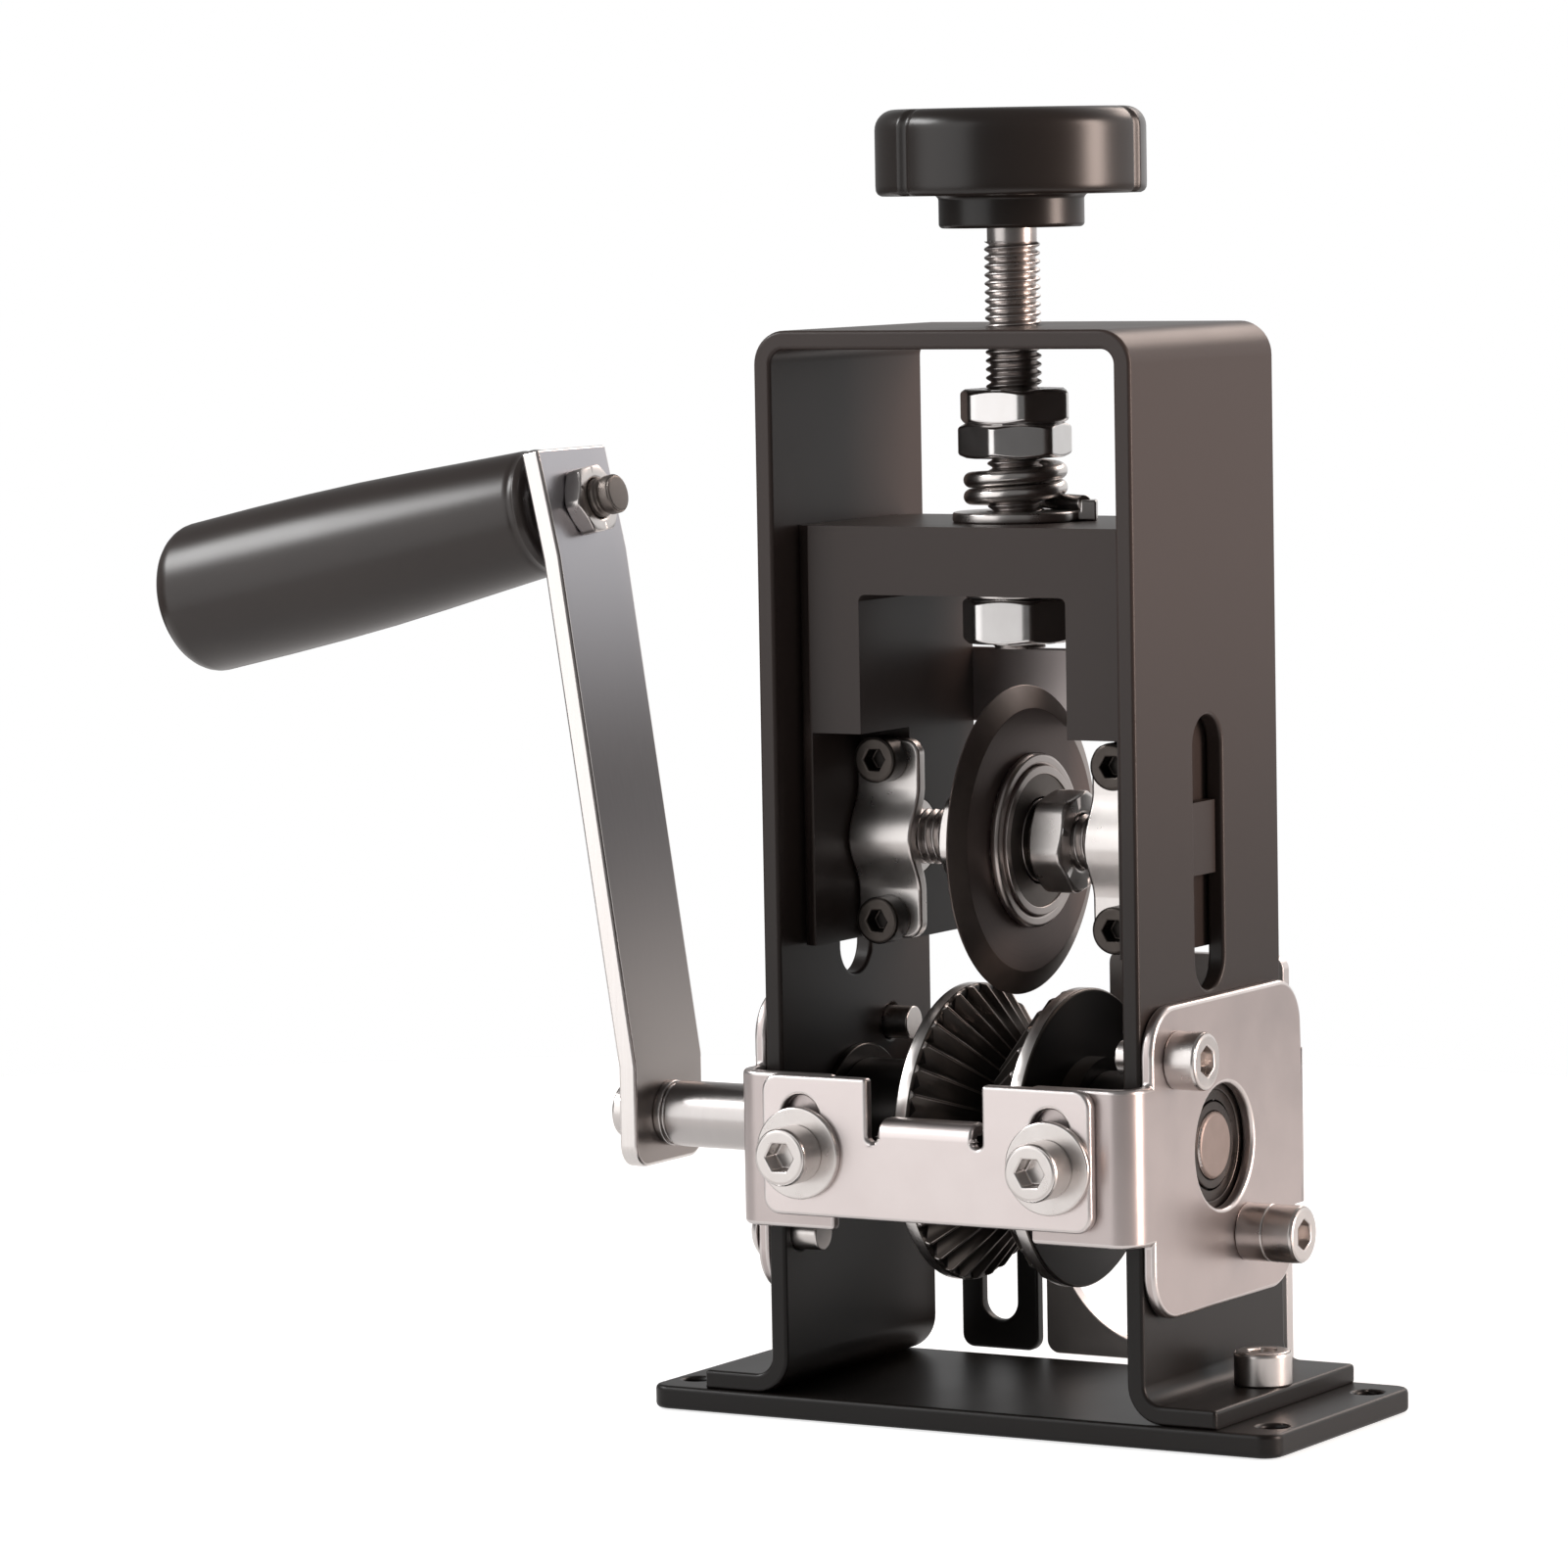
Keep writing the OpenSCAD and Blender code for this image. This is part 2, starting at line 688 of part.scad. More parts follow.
module shaft_bearing_outer() {
    color(dark_steel) for (s = [-1, 1]) mirror([s > 0 ? 0 : 1, 0, 0]) translate([0, 0, shaft_z]) {
        translate([bearing_in + bearing_w / 2, 0, 0])
            bearing_outer(bearing_od, race_out_d, bearing_w, ball_circle_r, ball_d);
        translate([bearing_in, 0, 0]) rotate([0, 90, 0])
            ring(bearing_flange_d, bearing_od - 1, leg_in - bearing_in);
    }
}

module shaft_bearing_inner() {
    color(dark_steel) for (s = [-1, 1])
        translate([s * (bearing_in + bearing_w / 2), 0, shaft_z])
            bearing_inner(race_in_d, shaft_d + 2 * run, bearing_w, ball_circle_r, ball_d);
}

module shaft_bearing_balls() {
    color(bright_steel) for (s = [-1, 1])
        translate([s * (bearing_in + bearing_w / 2), 0, shaft_z]) rotate([0, 90, 0])
            ball_ring(shaft_balls, ball_circle_r, ball_d);
}

module shaft_bearing_shields() {
    shield_x = bearing_w / 2 - shield_t - 0.2;
    color(dark_steel) for (s = [-1, 1], side = [-1, 1])
        translate([s * (bearing_in + bearing_w / 2) + side * shield_x - (1 - side) / 2 * shield_t,
            0, shaft_z])
            rotate([0, 90, 0]) ring(race_out_d, race_in_d + 2 * loose, shield_t);
}

// Shaft across both legs, with a flat-sided end for the arm and a ring groove beside it
module drive_shaft() {
    color(bright_steel) difference() {
        union() {
            translate([0, 0, shaft_z]) turned_x([[0, -arm_x], [shaft_d / 2, -arm_x],
                [shaft_d / 2, -arm_x + 1.2], [shaft_d / 2 - 0.6, -arm_x + 1.2],
                [shaft_d / 2 - 0.6, -arm_x + 2], [shaft_d / 2, -arm_x + 2],
                [shaft_d / 2, shaft_end - 0.4], [shaft_d / 2 - 0.4, shaft_end], [0, shaft_end]]);
            translate([0, 0, shaft_z]) spigot(0, 0);
        }
        bar_x(bolt_d + 2 * run, -arm_x - arm_t - over, -arm_x + crank_screw_bite + 3, 0, shaft_z);
    }
}

// Flat-sided end that carries the arm, grown by a clearance g and lengthened by extra
module spigot(g, extra) {
    flat = shaft_d / 2 - 1.8 + g;
    intersection() {
        bar_x(shaft_d - 2 + 2 * g, -arm_x - arm_t + 0.3 - extra, -arm_x);
        translate([-arm_x - 2 * arm_t, -shaft_d, -flat]) cube([3 * arm_t, 2 * shaft_d, 2 * flat]);
    }
}

// Toothed disc with its small end at x = 0 and its rim towards +X, the axis on X
module feed_disc() {
    rim_r = disc_d / 2;
    corner_r = rim_r - rim_step;
    corner_x = disc_half - rim_w;
    groove_r = groove_d / 2;
    slope = atan2(corner_r - groove_r, corner_x);
    inner_depth = tooth_depth * groove_r / corner_r;
    foot = [inner_depth * sin(slope), groove_r - inner_depth * cos(slope)];
    tip = [corner_x + tooth_depth * sin(slope), corner_r - tooth_depth * cos(slope)];
    lean = atan2(tip[1] - foot[1], tip[0] - foot[0]);
    reach = norm(tip - foot);
    flank = (PI * corner_r / teeth - 0.12) / tooth_depth;
    cut_h = 2 * tooth_depth;
    cut_run = 3 * over;
    difference() {
        turned_x([[shaft_d / 2 + run, 0], [groove_r, 0], [corner_r, corner_x],
            [rim_r - rim_step / 2, corner_x + rim_step], [rim_r - rim_step / 2, disc_half - rim_step],
            [shaft_d / 2 + run, disc_half - rim_step]]);
        for (i = [0:teeth - 1]) rotate([i * 360 / teeth, 0, 0]) translate([foot[0], 0, foot[1]])
            rotate([0, -lean, 0]) translate([-cut_run, 0, 0]) rotate([90, 0, 90])
            linear_extrude(reach + 2 * cut_run)
            polygon([[0, 0], [flank * cut_h, cut_h], [-flank * cut_h, cut_h]]);
    }
    turned_x([[corner_r - 2 * tooth_depth - 1, corner_x + scallop], [rim_r - rim_step, corner_x + scallop],
        [rim_r, corner_x + scallop + rim_step], [rim_r, disc_half - rim_step],
        [rim_r - rim_step, disc_half], [disc_hub_d / 2, disc_half],
        [disc_hub_d / 2, disc_half + disc_hub_t], [shaft_d / 2 + run, disc_half + disc_hub_t],
        [shaft_d / 2 + run, corner_x + scallop]]);
}

module right_feed_disc() {
    color(dark_steel) translate([cut_x, 0, shaft_z]) feed_disc();
}

module left_feed_disc() {
    color(dark_steel) translate([cut_x, 0, shaft_z]) mirror([1, 0, 0]) feed_disc();
}

module shaft_spacers() {
    hub_x = disc_half + disc_hub_t;
    color(bright_steel) translate([0, 0, shaft_z]) rotate([0, 90, 0]) {
        translate([0, 0, cut_x + hub_x]) ring(spacer_d, shaft_d + 2 * run, bearing_in - cut_x - hub_x);
        translate([0, 0, -bearing_in]) ring(spacer_d, shaft_d + 2 * run, bearing_in + cut_x - hub_x);
    }
}

// Side outline of the bent arm: upright at the shaft, leaning, and square to the handle
module arm_outline() {
    low = shaft_z - arm_foot;
    bend_1 = shaft_z + arm_boss;
    bend_2 = handle_z - arm_square;
    top = handle_z + arm_end;
    x1 = -arm_x;
    x2 = x1 - (bend_2 - bend_1) * tan(arm_lean);
    x3 = x2 - (top - bend_2) * tan(handle_droop);
    t1 = arm_t * tan(arm_lean / 2);
    mid = (handle_droop + arm_lean) / 2;
    t2 = arm_t / cos(mid - arm_lean);
    polygon([[x1, low], [x1, bend_1], [x2, bend_2], [x3, top],
        [x3 - arm_t * cos(handle_droop), top - arm_t * sin(handle_droop)],
        [x2 - t2 * cos(mid), bend_2 - t2 * sin(mid)], [x1 - arm_t, bend_1 - t1], [x1 - arm_t, low]]);
}

// Moves a shape to the handle: z = 0 on the arm's inner face, +z out along the grip
module at_handle() {
    translate([handle_x, 0, handle_z]) rotate([0, -90 - handle_droop, 0]) children();
}

module crank_arm() {
    corner_r = 3.5;
    low = shaft_z - arm_foot;
    color(satin_steel) difference() {
        translate([0, arm_w / 2, 0]) rotate([90, 0, 0]) linear_extrude(arm_w) arm_outline();
        translate([0, 0, shaft_z]) spigot(run, over);
        at_handle() translate([0, 0, -over]) cylinder(d = stud_d + 2 * run, h = arm_t + 2 * over);
        for (s = [-1, 1]) translate([-arm_x - arm_t - over, s * (arm_w / 2 - corner_r), low + corner_r])
            rotate([0, 90, 0]) difference() {
                translate([0, s > 0 ? 0 : -corner_r - over, 0])
                    cube([corner_r + over, corner_r + over, arm_t + 2 * over]);
                translate([0, 0, -over]) cylinder(r = corner_r, h = arm_t + 4 * over);
            }
    }
}

module crank_screw() {
    color(bright_steel) translate([-arm_x - arm_t, 0, shaft_z]) rotate([0, -90, 0])
        bolt(arm_t + crank_screw_bite);
}

// Turned grip with a rounded end, a bore for the stud and a recess for its collar
module handle_grip() {
    end_r = 4;
    neck_r = 1.2;
    grip_r = grip_d / 2;
    color(black_plastic) at_handle() translate([0, 0, grip_z]) difference() {
        rotate_extrude() {
            polygon([[0, 0], [grip_neck_d / 2 - neck_r, 0], [grip_neck_d / 2, neck_r],
                [grip_r - 0.2, grip_len * 0.5], [grip_r, grip_len * 0.8],
                [grip_r, grip_len - end_r], [grip_r - end_r, grip_len], [0, grip_len]]);
            translate([grip_r - end_r, grip_len - end_r]) circle(end_r);
        }
        translate([0, 0, -over]) cylinder(d = stud_d + 2 * run, h = stud_len + 2 * over);
        translate([0, 0, -over]) cylinder(d = collar_room_d, h = stud_collar_t + 1.2 + over);
    }
}

module handle_stud() {
    color(dark_steel) at_handle() {
        translate([0, 0, -nut_side]) cylinder(d1 = stud_d - 1, d2 = stud_d, h = 0.5);
        translate([0, 0, 0.5 - nut_side]) cylinder(d = stud_d, h = stud_len + nut_side + grip_z - 0.5);
        translate([0, 0, arm_t + handle_washer_t]) cylinder(d = stud_collar_d, h = stud_collar_t);
    }
}

module handle_washer() {
    color(bright_steel) at_handle() translate([0, 0, arm_t])
        ring(stud_collar_d + 1.5, stud_d + 2 * run, handle_washer_t);
}

module handle_nut() {
    color(bright_steel) at_handle() translate([0, 0, -handle_nut_h]) rotate(25)
        hex_nut(handle_nut_af, handle_nut_h, stud_d + 2 * run);
}

// Block that slides between the legs: a bar on top, and a leg on each side of the blade
module carrier() {
    color(black_paint) {
        difference() {
            translate([-carrier_half, -carrier_d / 2, carrier_low])
                round_plate(2 * carrier_half, carrier_d, carrier_top - carrier_low, carrier_corner_r);
            translate([-block_in, carrier_d / 2 + over, carrier_low - 2 * window_corner_r])
                rotate([90, 0, 0]) round_plate(2 * block_in,
                    carrier_top - bar_t - carrier_low + 2 * window_corner_r,
                    carrier_d + 2 * over, window_corner_r);
            translate([-cheek_in, -carrier_d / 2 - over, carrier_low - over])
                cube([2 * cheek_in, carrier_d / 2 + saddle_y + over, step_z - carrier_low + over]);
            bar_x(collar_d + 2 * run, -cheek_in, cheek_in, 0, blade_z);
            translate([-cheek_in, -carrier_d / 2, blade_z - collar_d / 2 - run])
                cube([2 * cheek_in, carrier_d / 2, collar_d + 2 * run]);
            translate([0, 0, carrier_top - bar_t - over])
                cylinder(d = screw_d + 2 * loose, h = bar_t + 2 * over);
            for (s = [-1, 1]) {
                for (z = [-1, 1]) bar_y(cap_bolt_d + 2 * run, saddle_y - over,
                    saddle_y + cap_screw_bite + 1,
                    s * cap_x, blade_z + z * cap_pitch / 2);
                bar_y(cap_bolt_d + 2 * run, carrier_d / 2 - stay_screw_bite - 2, carrier_d / 2 + over,
                    s * stay_screw_x, stay_screw_z);
            }
        }
        for (s = [-1, 1]) translate([s > 0 ? carrier_half - over : -lug_out, -lug_half,
            blade_z + lug_rise - lug_h / 2])
            cube([lug_out - carrier_half + over, 2 * lug_half, lug_h]);
    }
}

// Flat plate across the back of the carrier
module carrier_stay() {
    color(satin_steel) difference() {
        translate([-stay_half, carrier_d / 2 + stay_t, stay_low]) rotate([90, 0, 0])
            round_plate(2 * stay_half, stay_h, stay_t, 2);
        for (s = [-1, 1])
            bar_y(cap_bolt_d + 2 * loose, carrier_d / 2 - over, carrier_d / 2 + stay_t + over,
                s * stay_screw_x, stay_screw_z);
    }
}

module stay_screws() {
    color(bright_steel) for (s = [-1, 1])
        translate([s * stay_screw_x, carrier_d / 2 + stay_t, stay_screw_z]) rotate([-90, 0, 0])
            socket_screw(cap_bolt_d, cap_head_d, cap_head_h / 2, stay_t + stay_screw_bite, 2.5);
}

// Cap over one axle collar: an arch with an ear above and below for its screws
module axle_cap(s) {
    arch_half = (cap_pitch - cap_head_d) / 2 - 0.3;
    arch_r = (arch_half * arch_half + cap_bulge * cap_bulge) / (2 * cap_bulge);
    arch_c = cap_t + cap_bulge - arch_r;
    color(bright_steel) translate([s * cap_x - cap_w / 2, saddle_y, blade_z]) difference() {
        intersection() {
            rotate([90, 0, 90]) linear_extrude(cap_w) {
                difference() {
                    intersection() {
                        translate([-arch_c, 0]) circle(arch_r);
                        translate([-2 * arch_r, -arch_half]) square([2 * arch_r, 2 * arch_half]);
                    }
                    translate([-arch_c, 0]) circle(arch_r - cap_t);
                }
                for (v = [-1, 1]) translate([-cap_t, v > 0 ? arch_half - 0.6 : -cap_h / 2])
                    square([cap_t, cap_h / 2 - arch_half + 0.6]);
            }
            translate([0, over, -cap_h / 2]) rotate([90, 0, 0])
                round_plate(cap_w, cap_h, carrier_d / 2, 2.2);
        }
        for (v = [-1, 1]) translate([cap_w / 2, over, v * cap_pitch / 2]) rotate([90, 0, 0])
            cylinder(d = cap_bolt_d + 2 * loose, h = cap_t + 2 * over);
    }
}

module left_axle_cap() {
    axle_cap(-1);
}

module right_axle_cap() {
    axle_cap(1);
}

module cap_screws() {
    color(black_oxide) for (s = [-1, 1], v = [-1, 1])
        translate([s * cap_x, saddle_y - cap_t, blade_z + v * cap_pitch / 2]) rotate([90, 0, 0])
            socket_screw(cap_bolt_d, cap_head_d, cap_head_h, cap_t + cap_screw_bite, 3);
}

module blade_axle() {
    axle_half = cheek_in - 0.2;
    color(dark_steel) translate([0, 0, blade_z]) turned_x([[0, -axle_half],
        [axle_d / 2 - 0.6, -axle_half], [axle_d / 2, 0.6 - axle_half], [axle_d / 2, axle_half - 0.6],
        [axle_d / 2 - 0.6, axle_half], [0, axle_half]]);
}

module axle_collars() {
    color(bright_steel) translate([0, 0, blade_z]) rotate([0, 90, 0]) for (s = [-1, 1])
        translate([0, 0, s > 0 ? block_in : -cheek_in])
            ring(collar_d, axle_d + 2 * run, cheek_in - block_in);
}

module axle_spacers() {
    color(bright_steel) translate([0, 0, blade_z]) rotate([0, 90, 0]) for (s = [-1, 1])
        translate([0, 0, s > 0 ? cut_x + blade_bearing_w / 2
            : cut_x - blade_bearing_w / 2 - axle_spacer_t])
            ring(axle_d + 2 * axle_spacer_w, axle_d + 2 * run, axle_spacer_t);
}

module axle_nuts() {
    nut_x = blade_bearing_w / 2 + axle_spacer_t;
    color(bright_steel) translate([0, 0, blade_z]) {
        translate([cut_x + nut_x, 0, 0]) rotate([0, 90, 0]) rotate(-17)
            hex_nut(axle_nut_af, axle_nut_h, axle_d + 2 * run);
        translate([cut_x - nut_x, 0, 0]) rotate([0, -90, 0]) rotate(17)
            hex_nut(axle_nut_af, axle_nut_h, axle_d + 2 * run);
    }
}

// Round blade, bevelled from both sides to its edge
module blade() {
    edge = 0.1;
    color(dark_steel) translate([cut_x, 0, blade_z]) turned_x([[sleeve_d / 2 + run, -blade_t / 2],
        [blade_r - bevel_w, -blade_t / 2], [blade_r, -edge], [blade_r, edge],
        [blade_r - bevel_w, blade_t / 2], [sleeve_d / 2 + run, blade_t / 2]]);
}

// Flanged sleeve between the blade and its bearing
module blade_hub() {
    color(bright_steel) translate([cut_x, 0, blade_z]) turned_x([
        [blade_bearing_od / 2, -hub_half], [sleeve_d / 2, -hub_half], [sleeve_d / 2, blade_t / 2],
        [hub_d / 2, blade_t / 2], [hub_d / 2, hub_half - 0.3], [hub_d / 2 - 0.3, hub_half],
        [blade_bearing_od / 2, hub_half]]);
}

// Ring that clamps the blade against the hub's flange
module blade_retainer() {
    color(bright_steel) translate([cut_x - hub_half, 0, blade_z]) rotate([0, 90, 0])
        ring(hub_d, sleeve_d + 2 * run, hub_half - blade_t / 2);
}

module blade_bearing_outer() {
    color(bright_steel) translate([cut_x, 0, blade_z])
        bearing_outer(blade_bearing_od, blade_race_out_d, blade_bearing_w, blade_ball_r, blade_ball_d);
}

module blade_bearing_inner() {
    color(bright_steel) translate([cut_x, 0, blade_z])
        bearing_inner(blade_race_in_d, axle_d + 2 * run, blade_bearing_w, blade_ball_r, blade_ball_d);
}

module blade_bearing_balls() {
    color(bright_steel) translate([cut_x, 0, blade_z]) rotate([0, 90, 0])
        ball_ring(blade_balls, blade_ball_r, blade_ball_d);
}

module blade_bearing_shields() {
    shield_x = blade_bearing_w / 2 - shield_t - 0.2;
    color(bright_steel) for (side = [-1, 1])
        translate([cut_x + side * shield_x - (1 - side) / 2 * shield_t, 0, blade_z])
            rotate([0, 90, 0]) ring(blade_race_out_d, blade_race_in_d + 2 * loose, shield_t);
}

module adjusting_screw() {
    top = knob_z + knob_hub_h + screw_in_knob;
    color(bright_steel) translate([0, 0, screw_low]) {
        cylinder(d1 = screw_d - 1.4, d2 = screw_d, h = 0.7);
        translate([0, 0, 0.7]) cylinder(d = screw_d, h = top - screw_low - 0.7);
    }
}

// Knob: a hub below a lobed wheel with a rounded upper edge
module knob() {
    wheel_z = knob_hub_h;
    top_z = knob_hub_h + knob_h;
    knob_r = knob_d / 2;
    color(black_plastic) translate([0, 0, knob_z]) difference() {
        rotate_extrude() {
            polygon([[0, 0], [knob_hub_d / 2 - 0.5, 0], [knob_hub_d / 2, 0.5],
                [knob_hub_d / 2, wheel_z], [knob_r - 0.8, wheel_z], [knob_r, wheel_z + 0.8],
                [knob_r, top_z - knob_edge_r], [knob_r - knob_edge_r, top_z], [0, top_z]]);
            translate([knob_r - knob_edge_r, top_z - knob_edge_r]) circle(knob_edge_r);
        }
        for (i = [0:knob_lobes - 1]) rotate(knob_turn + i * 360 / knob_lobes)
            translate([knob_r - knob_groove_depth + knob_groove_r, 0, wheel_z - over])
            cylinder(r = knob_groove_r, h = knob_h + 2 * over);
        translate([0, 0, -over])
            cylinder(d = screw_d + 2 * run, h = wheel_z + screw_in_knob + over);
    }
}

module jam_nuts() {
    color(bright_steel) translate([0, 0, nuts_z]) {
        rotate(36) hex_nut(nut_af, jam_nut_h, screw_d + 2 * run);
        translate([0, 0, jam_nut_h]) rotate(7.4) hex_nut(nut_af, jam_nut_h, screw_d + 2 * run);
    }
}

// Centre of the spring's wire at step i, the steps below 0 being its straight tail
function wire_point(i) = let (r = (spring_od - spring_wire) / 2, a = spring_start + i * 360 / spring_steps,
    rise = (spring_h - float_gap - spring_wire) / (spring_turns * spring_steps))
    i < 0 ? [r * cos(spring_start) - i * tail_step * sin(spring_start),
        r * sin(spring_start) + i * tail_step * cos(spring_start), 0]
    : [r * cos(a), r * sin(a), i * rise];

// Coil spring swept round the screw
module spring() {
    sides = 8;
    first = -3;
    last = floor(spring_turns * spring_steps);
    rings = last - first + 1;
    wire_r = spring_wire / 2;
    points = [for (i = [first:last]) let (a = spring_start + max(i, 0) * 360 / spring_steps,
        out = [cos(a), sin(a), 0], c = wire_point(i))
        for (k = [0:sides - 1]) c + wire_r * (out * cos(k * 360 / sides)
            + [0, 0, 1] * sin(k * 360 / sides))];
    walls = [for (j = [0:rings - 2], k = [0:sides - 1]) let (n = (k + 1) % sides)
        for (f = [[j * sides + k, j * sides + n, (j + 1) * sides + k],
            [j * sides + n, (j + 1) * sides + n, (j + 1) * sides + k]]) f];
    ends = [[for (k = [sides - 1:-1:0]) k],
        [for (k = [0:sides - 1]) (rings - 1) * sides + k]];
    color(bright_steel) translate([0, 0, spring_z + wire_r])
        polyhedron(points, concat(walls, ends));
}

// Washer under the spring, with a tongue whose end is bent up
module spring_seat() {
    tongue_out = seat_d / 2 + 2.6;
    tongue_w = 4;
    color(bright_steel) translate([0, 0, carrier_top]) {
        ring(seat_d, screw_d + 2 * loose, seat_t);
        rotate(25) {
            translate([seat_d / 2 - 2, -tongue_w / 2, 0])
                cube([tongue_out - seat_d / 2 + 2, tongue_w, seat_t]);
            translate([tongue_out - 1.6 * seat_t, -tongue_w / 2, 0])
                cube([1.6 * seat_t, tongue_w, 2 * seat_t]);
        }
    }
}

module thrust_washer() {
    color(bright_steel) translate([0, 0, carrier_top - bar_t - thrust_t])
        ring(screw_d * 1.9, screw_d + 2 * loose, thrust_t);
}

module retaining_nut() {
    color(bright_steel)
        translate([0, 0, carrier_top - bar_t - thrust_t - float_gap - retaining_nut_h])
        rotate(10.6) hex_nut(nut_af, retaining_nut_h, screw_d + 2 * run);
}

base_plate();
frame();
foot_screws();
left_bracket();
right_bracket();
right_bracket_screws();
left_bracket_screws();
spacer_collar();
guide_plate();
guide_screws();
guide_washers();
guide_nuts();
outlet_plate();
rear_stay();
rear_screws();
rear_washers();
rear_nuts();
shaft_bearing_outer();
shaft_bearing_inner();
shaft_bearing_balls();
shaft_bearing_shields();
drive_shaft();
left_feed_disc();
right_feed_disc();
shaft_spacers();
crank_arm();
crank_screw();
handle_grip();
handle_stud();
handle_washer();
handle_nut();
carrier();
carrier_stay();
stay_screws();
left_axle_cap();
right_axle_cap();
cap_screws();
blade_axle();
axle_collars();
axle_nuts();
axle_spacers();
blade();
blade_hub();
blade_retainer();
blade_bearing_outer();
blade_bearing_inner();
blade_bearing_balls();
blade_bearing_shields();
adjusting_screw();
knob();
jam_nuts();
spring();
spring_seat();
thrust_washer();
retaining_nut();
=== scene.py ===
import math

import bmesh
import bpy
from mathutils import Matrix, Vector


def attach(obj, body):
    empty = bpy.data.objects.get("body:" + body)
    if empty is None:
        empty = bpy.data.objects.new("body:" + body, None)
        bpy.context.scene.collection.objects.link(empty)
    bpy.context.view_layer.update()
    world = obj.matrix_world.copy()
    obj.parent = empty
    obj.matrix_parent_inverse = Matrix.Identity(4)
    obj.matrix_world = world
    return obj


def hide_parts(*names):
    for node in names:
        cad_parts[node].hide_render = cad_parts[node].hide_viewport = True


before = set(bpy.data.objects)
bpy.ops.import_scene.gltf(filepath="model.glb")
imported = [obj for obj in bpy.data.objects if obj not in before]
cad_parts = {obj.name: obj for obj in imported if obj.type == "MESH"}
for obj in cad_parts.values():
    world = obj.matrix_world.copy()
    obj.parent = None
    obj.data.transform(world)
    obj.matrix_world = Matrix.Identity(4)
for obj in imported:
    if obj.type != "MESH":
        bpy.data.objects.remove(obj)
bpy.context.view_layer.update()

# Camera: a long lens a little above the feed discs, looking at the machine's front
# right corner, as the photograph was taken. It leans by a degree.
CAMERA_PLACE = (0.50563, -0.92162, 0.18448)
YAW = math.radians(30.641)
PITCH = math.radians(4.954)
ROLL = math.radians(-1.035)
LENS_MM = 164.89
SENSOR_MM = 36.0
backward = Vector((
    math.sin(YAW) * math.cos(PITCH),
    -math.cos(YAW) * math.cos(PITCH),
    math.sin(PITCH),
))
level = Vector((math.cos(YAW), math.sin(YAW), 0.0))
upright = backward.cross(level)
rightward = math.cos(ROLL) * level + math.sin(ROLL) * upright
upward = math.cos(ROLL) * upright - math.sin(ROLL) * level
photo_camera = bpy.data.objects.new("photo_camera", bpy.data.cameras.new("photo_camera"))
photo_camera.data.lens = LENS_MM
photo_camera.data.sensor_width = SENSOR_MM
photo_camera.data.clip_start = 0.05
photo_camera.data.clip_end = 50.0
photo_camera.matrix_world = (
    Matrix.Translation(CAMERA_PLACE)
    @ Matrix((rightward, upward, backward)).transposed().to_4x4()
)
bpy.context.scene.collection.objects.link(photo_camera)
bpy.context.scene.camera = photo_camera
bpy.context.scene.view_settings.view_transform = "Standard"

# Studio: a white backdrop behind the machine and a dim room in front of it. The lens and
# clear rays see plain white. Polished metal sees the backdrop where it hangs, and little
# light from below the bench.
BACKDROP_SIDE = (0.34, 0.94, 0.0)
ROOM_LIGHT = 0.34


def to_linear(code):
    """Linear colour of an sRGB hex code such as #c9c0bc."""
    parts = [int(code[i:i + 2], 16) / 255 for i in (1, 3, 5)]
    linear = [p / 12.92 if p <= 0.04045 else ((p + 0.055) / 1.055) ** 2.4 for p in parts]
    return (*linear, 1.0)


def add_node(tree, kind, values=None, links=None, **fields):
    """Adds a node, sets its fields and socket values, and links its inputs."""
    new = tree.nodes.new(kind)
    for field, value in fields.items():
        setattr(new, field, value)
    for socket, value in (values or {}).items():
        new.inputs[socket].default_value = value
    for socket, source in (links or {}).items():
        tree.links.new(source, new.inputs[socket])
    return new


WHITE = to_linear("#ffffff")
studio_world = bpy.data.worlds.new("white_backdrop_room")
studio_world.use_nodes = True
room = studio_world.node_tree
room.nodes.clear()
rays = add_node(room, "ShaderNodeLightPath")
seen = add_node(room, "ShaderNodeMath", operation="MAXIMUM", links={
    0: rays.outputs["Is Camera Ray"],
    1: rays.outputs["Is Transmission Ray"],
})
direction = add_node(room, "ShaderNodeTexCoord")
facing = add_node(room, "ShaderNodeVectorMath", {1: BACKDROP_SIDE},
    {0: direction.outputs["Generated"]}, operation="DOT_PRODUCT")
hung = add_node(room, "ShaderNodeMapRange",
    {"From Min": 0.30, "From Max": 0.95, "To Min": 0.19, "To Max": 1.0},
    {"Value": facing.outputs["Value"]}, interpolation_type="SMOOTHSTEP")
ray = add_node(room, "ShaderNodeSeparateXYZ", links={"Vector": direction.outputs["Generated"]})
below = add_node(room, "ShaderNodeMapRange",
    {"From Min": -0.15, "From Max": -0.03, "To Min": 0.43, "To Max": 1.0},
    {"Value": ray.outputs["Z"]}, interpolation_type="SMOOTHSTEP")
dimmed = add_node(room, "ShaderNodeMath", operation="MULTIPLY",
    links={0: hung.outputs["Result"], 1: below.outputs["Result"]})
mirrored = add_node(room, "ShaderNodeMix", {"A": ROOM_LIGHT},
    {"Factor": rays.outputs["Is Glossy Ray"], "B": dimmed.outputs[0]})
shown = add_node(room, "ShaderNodeMix", {"B": 1.0},
    {"Factor": seen.outputs[0], "A": mirrored.outputs[0]})
glow = add_node(room, "ShaderNodeBackground", {"Color": WHITE}, {"Strength": shown.outputs[0]})
add_node(room, "ShaderNodeOutputWorld", links={"Surface": glow.outputs[0]})
bpy.context.scene.world = studio_world

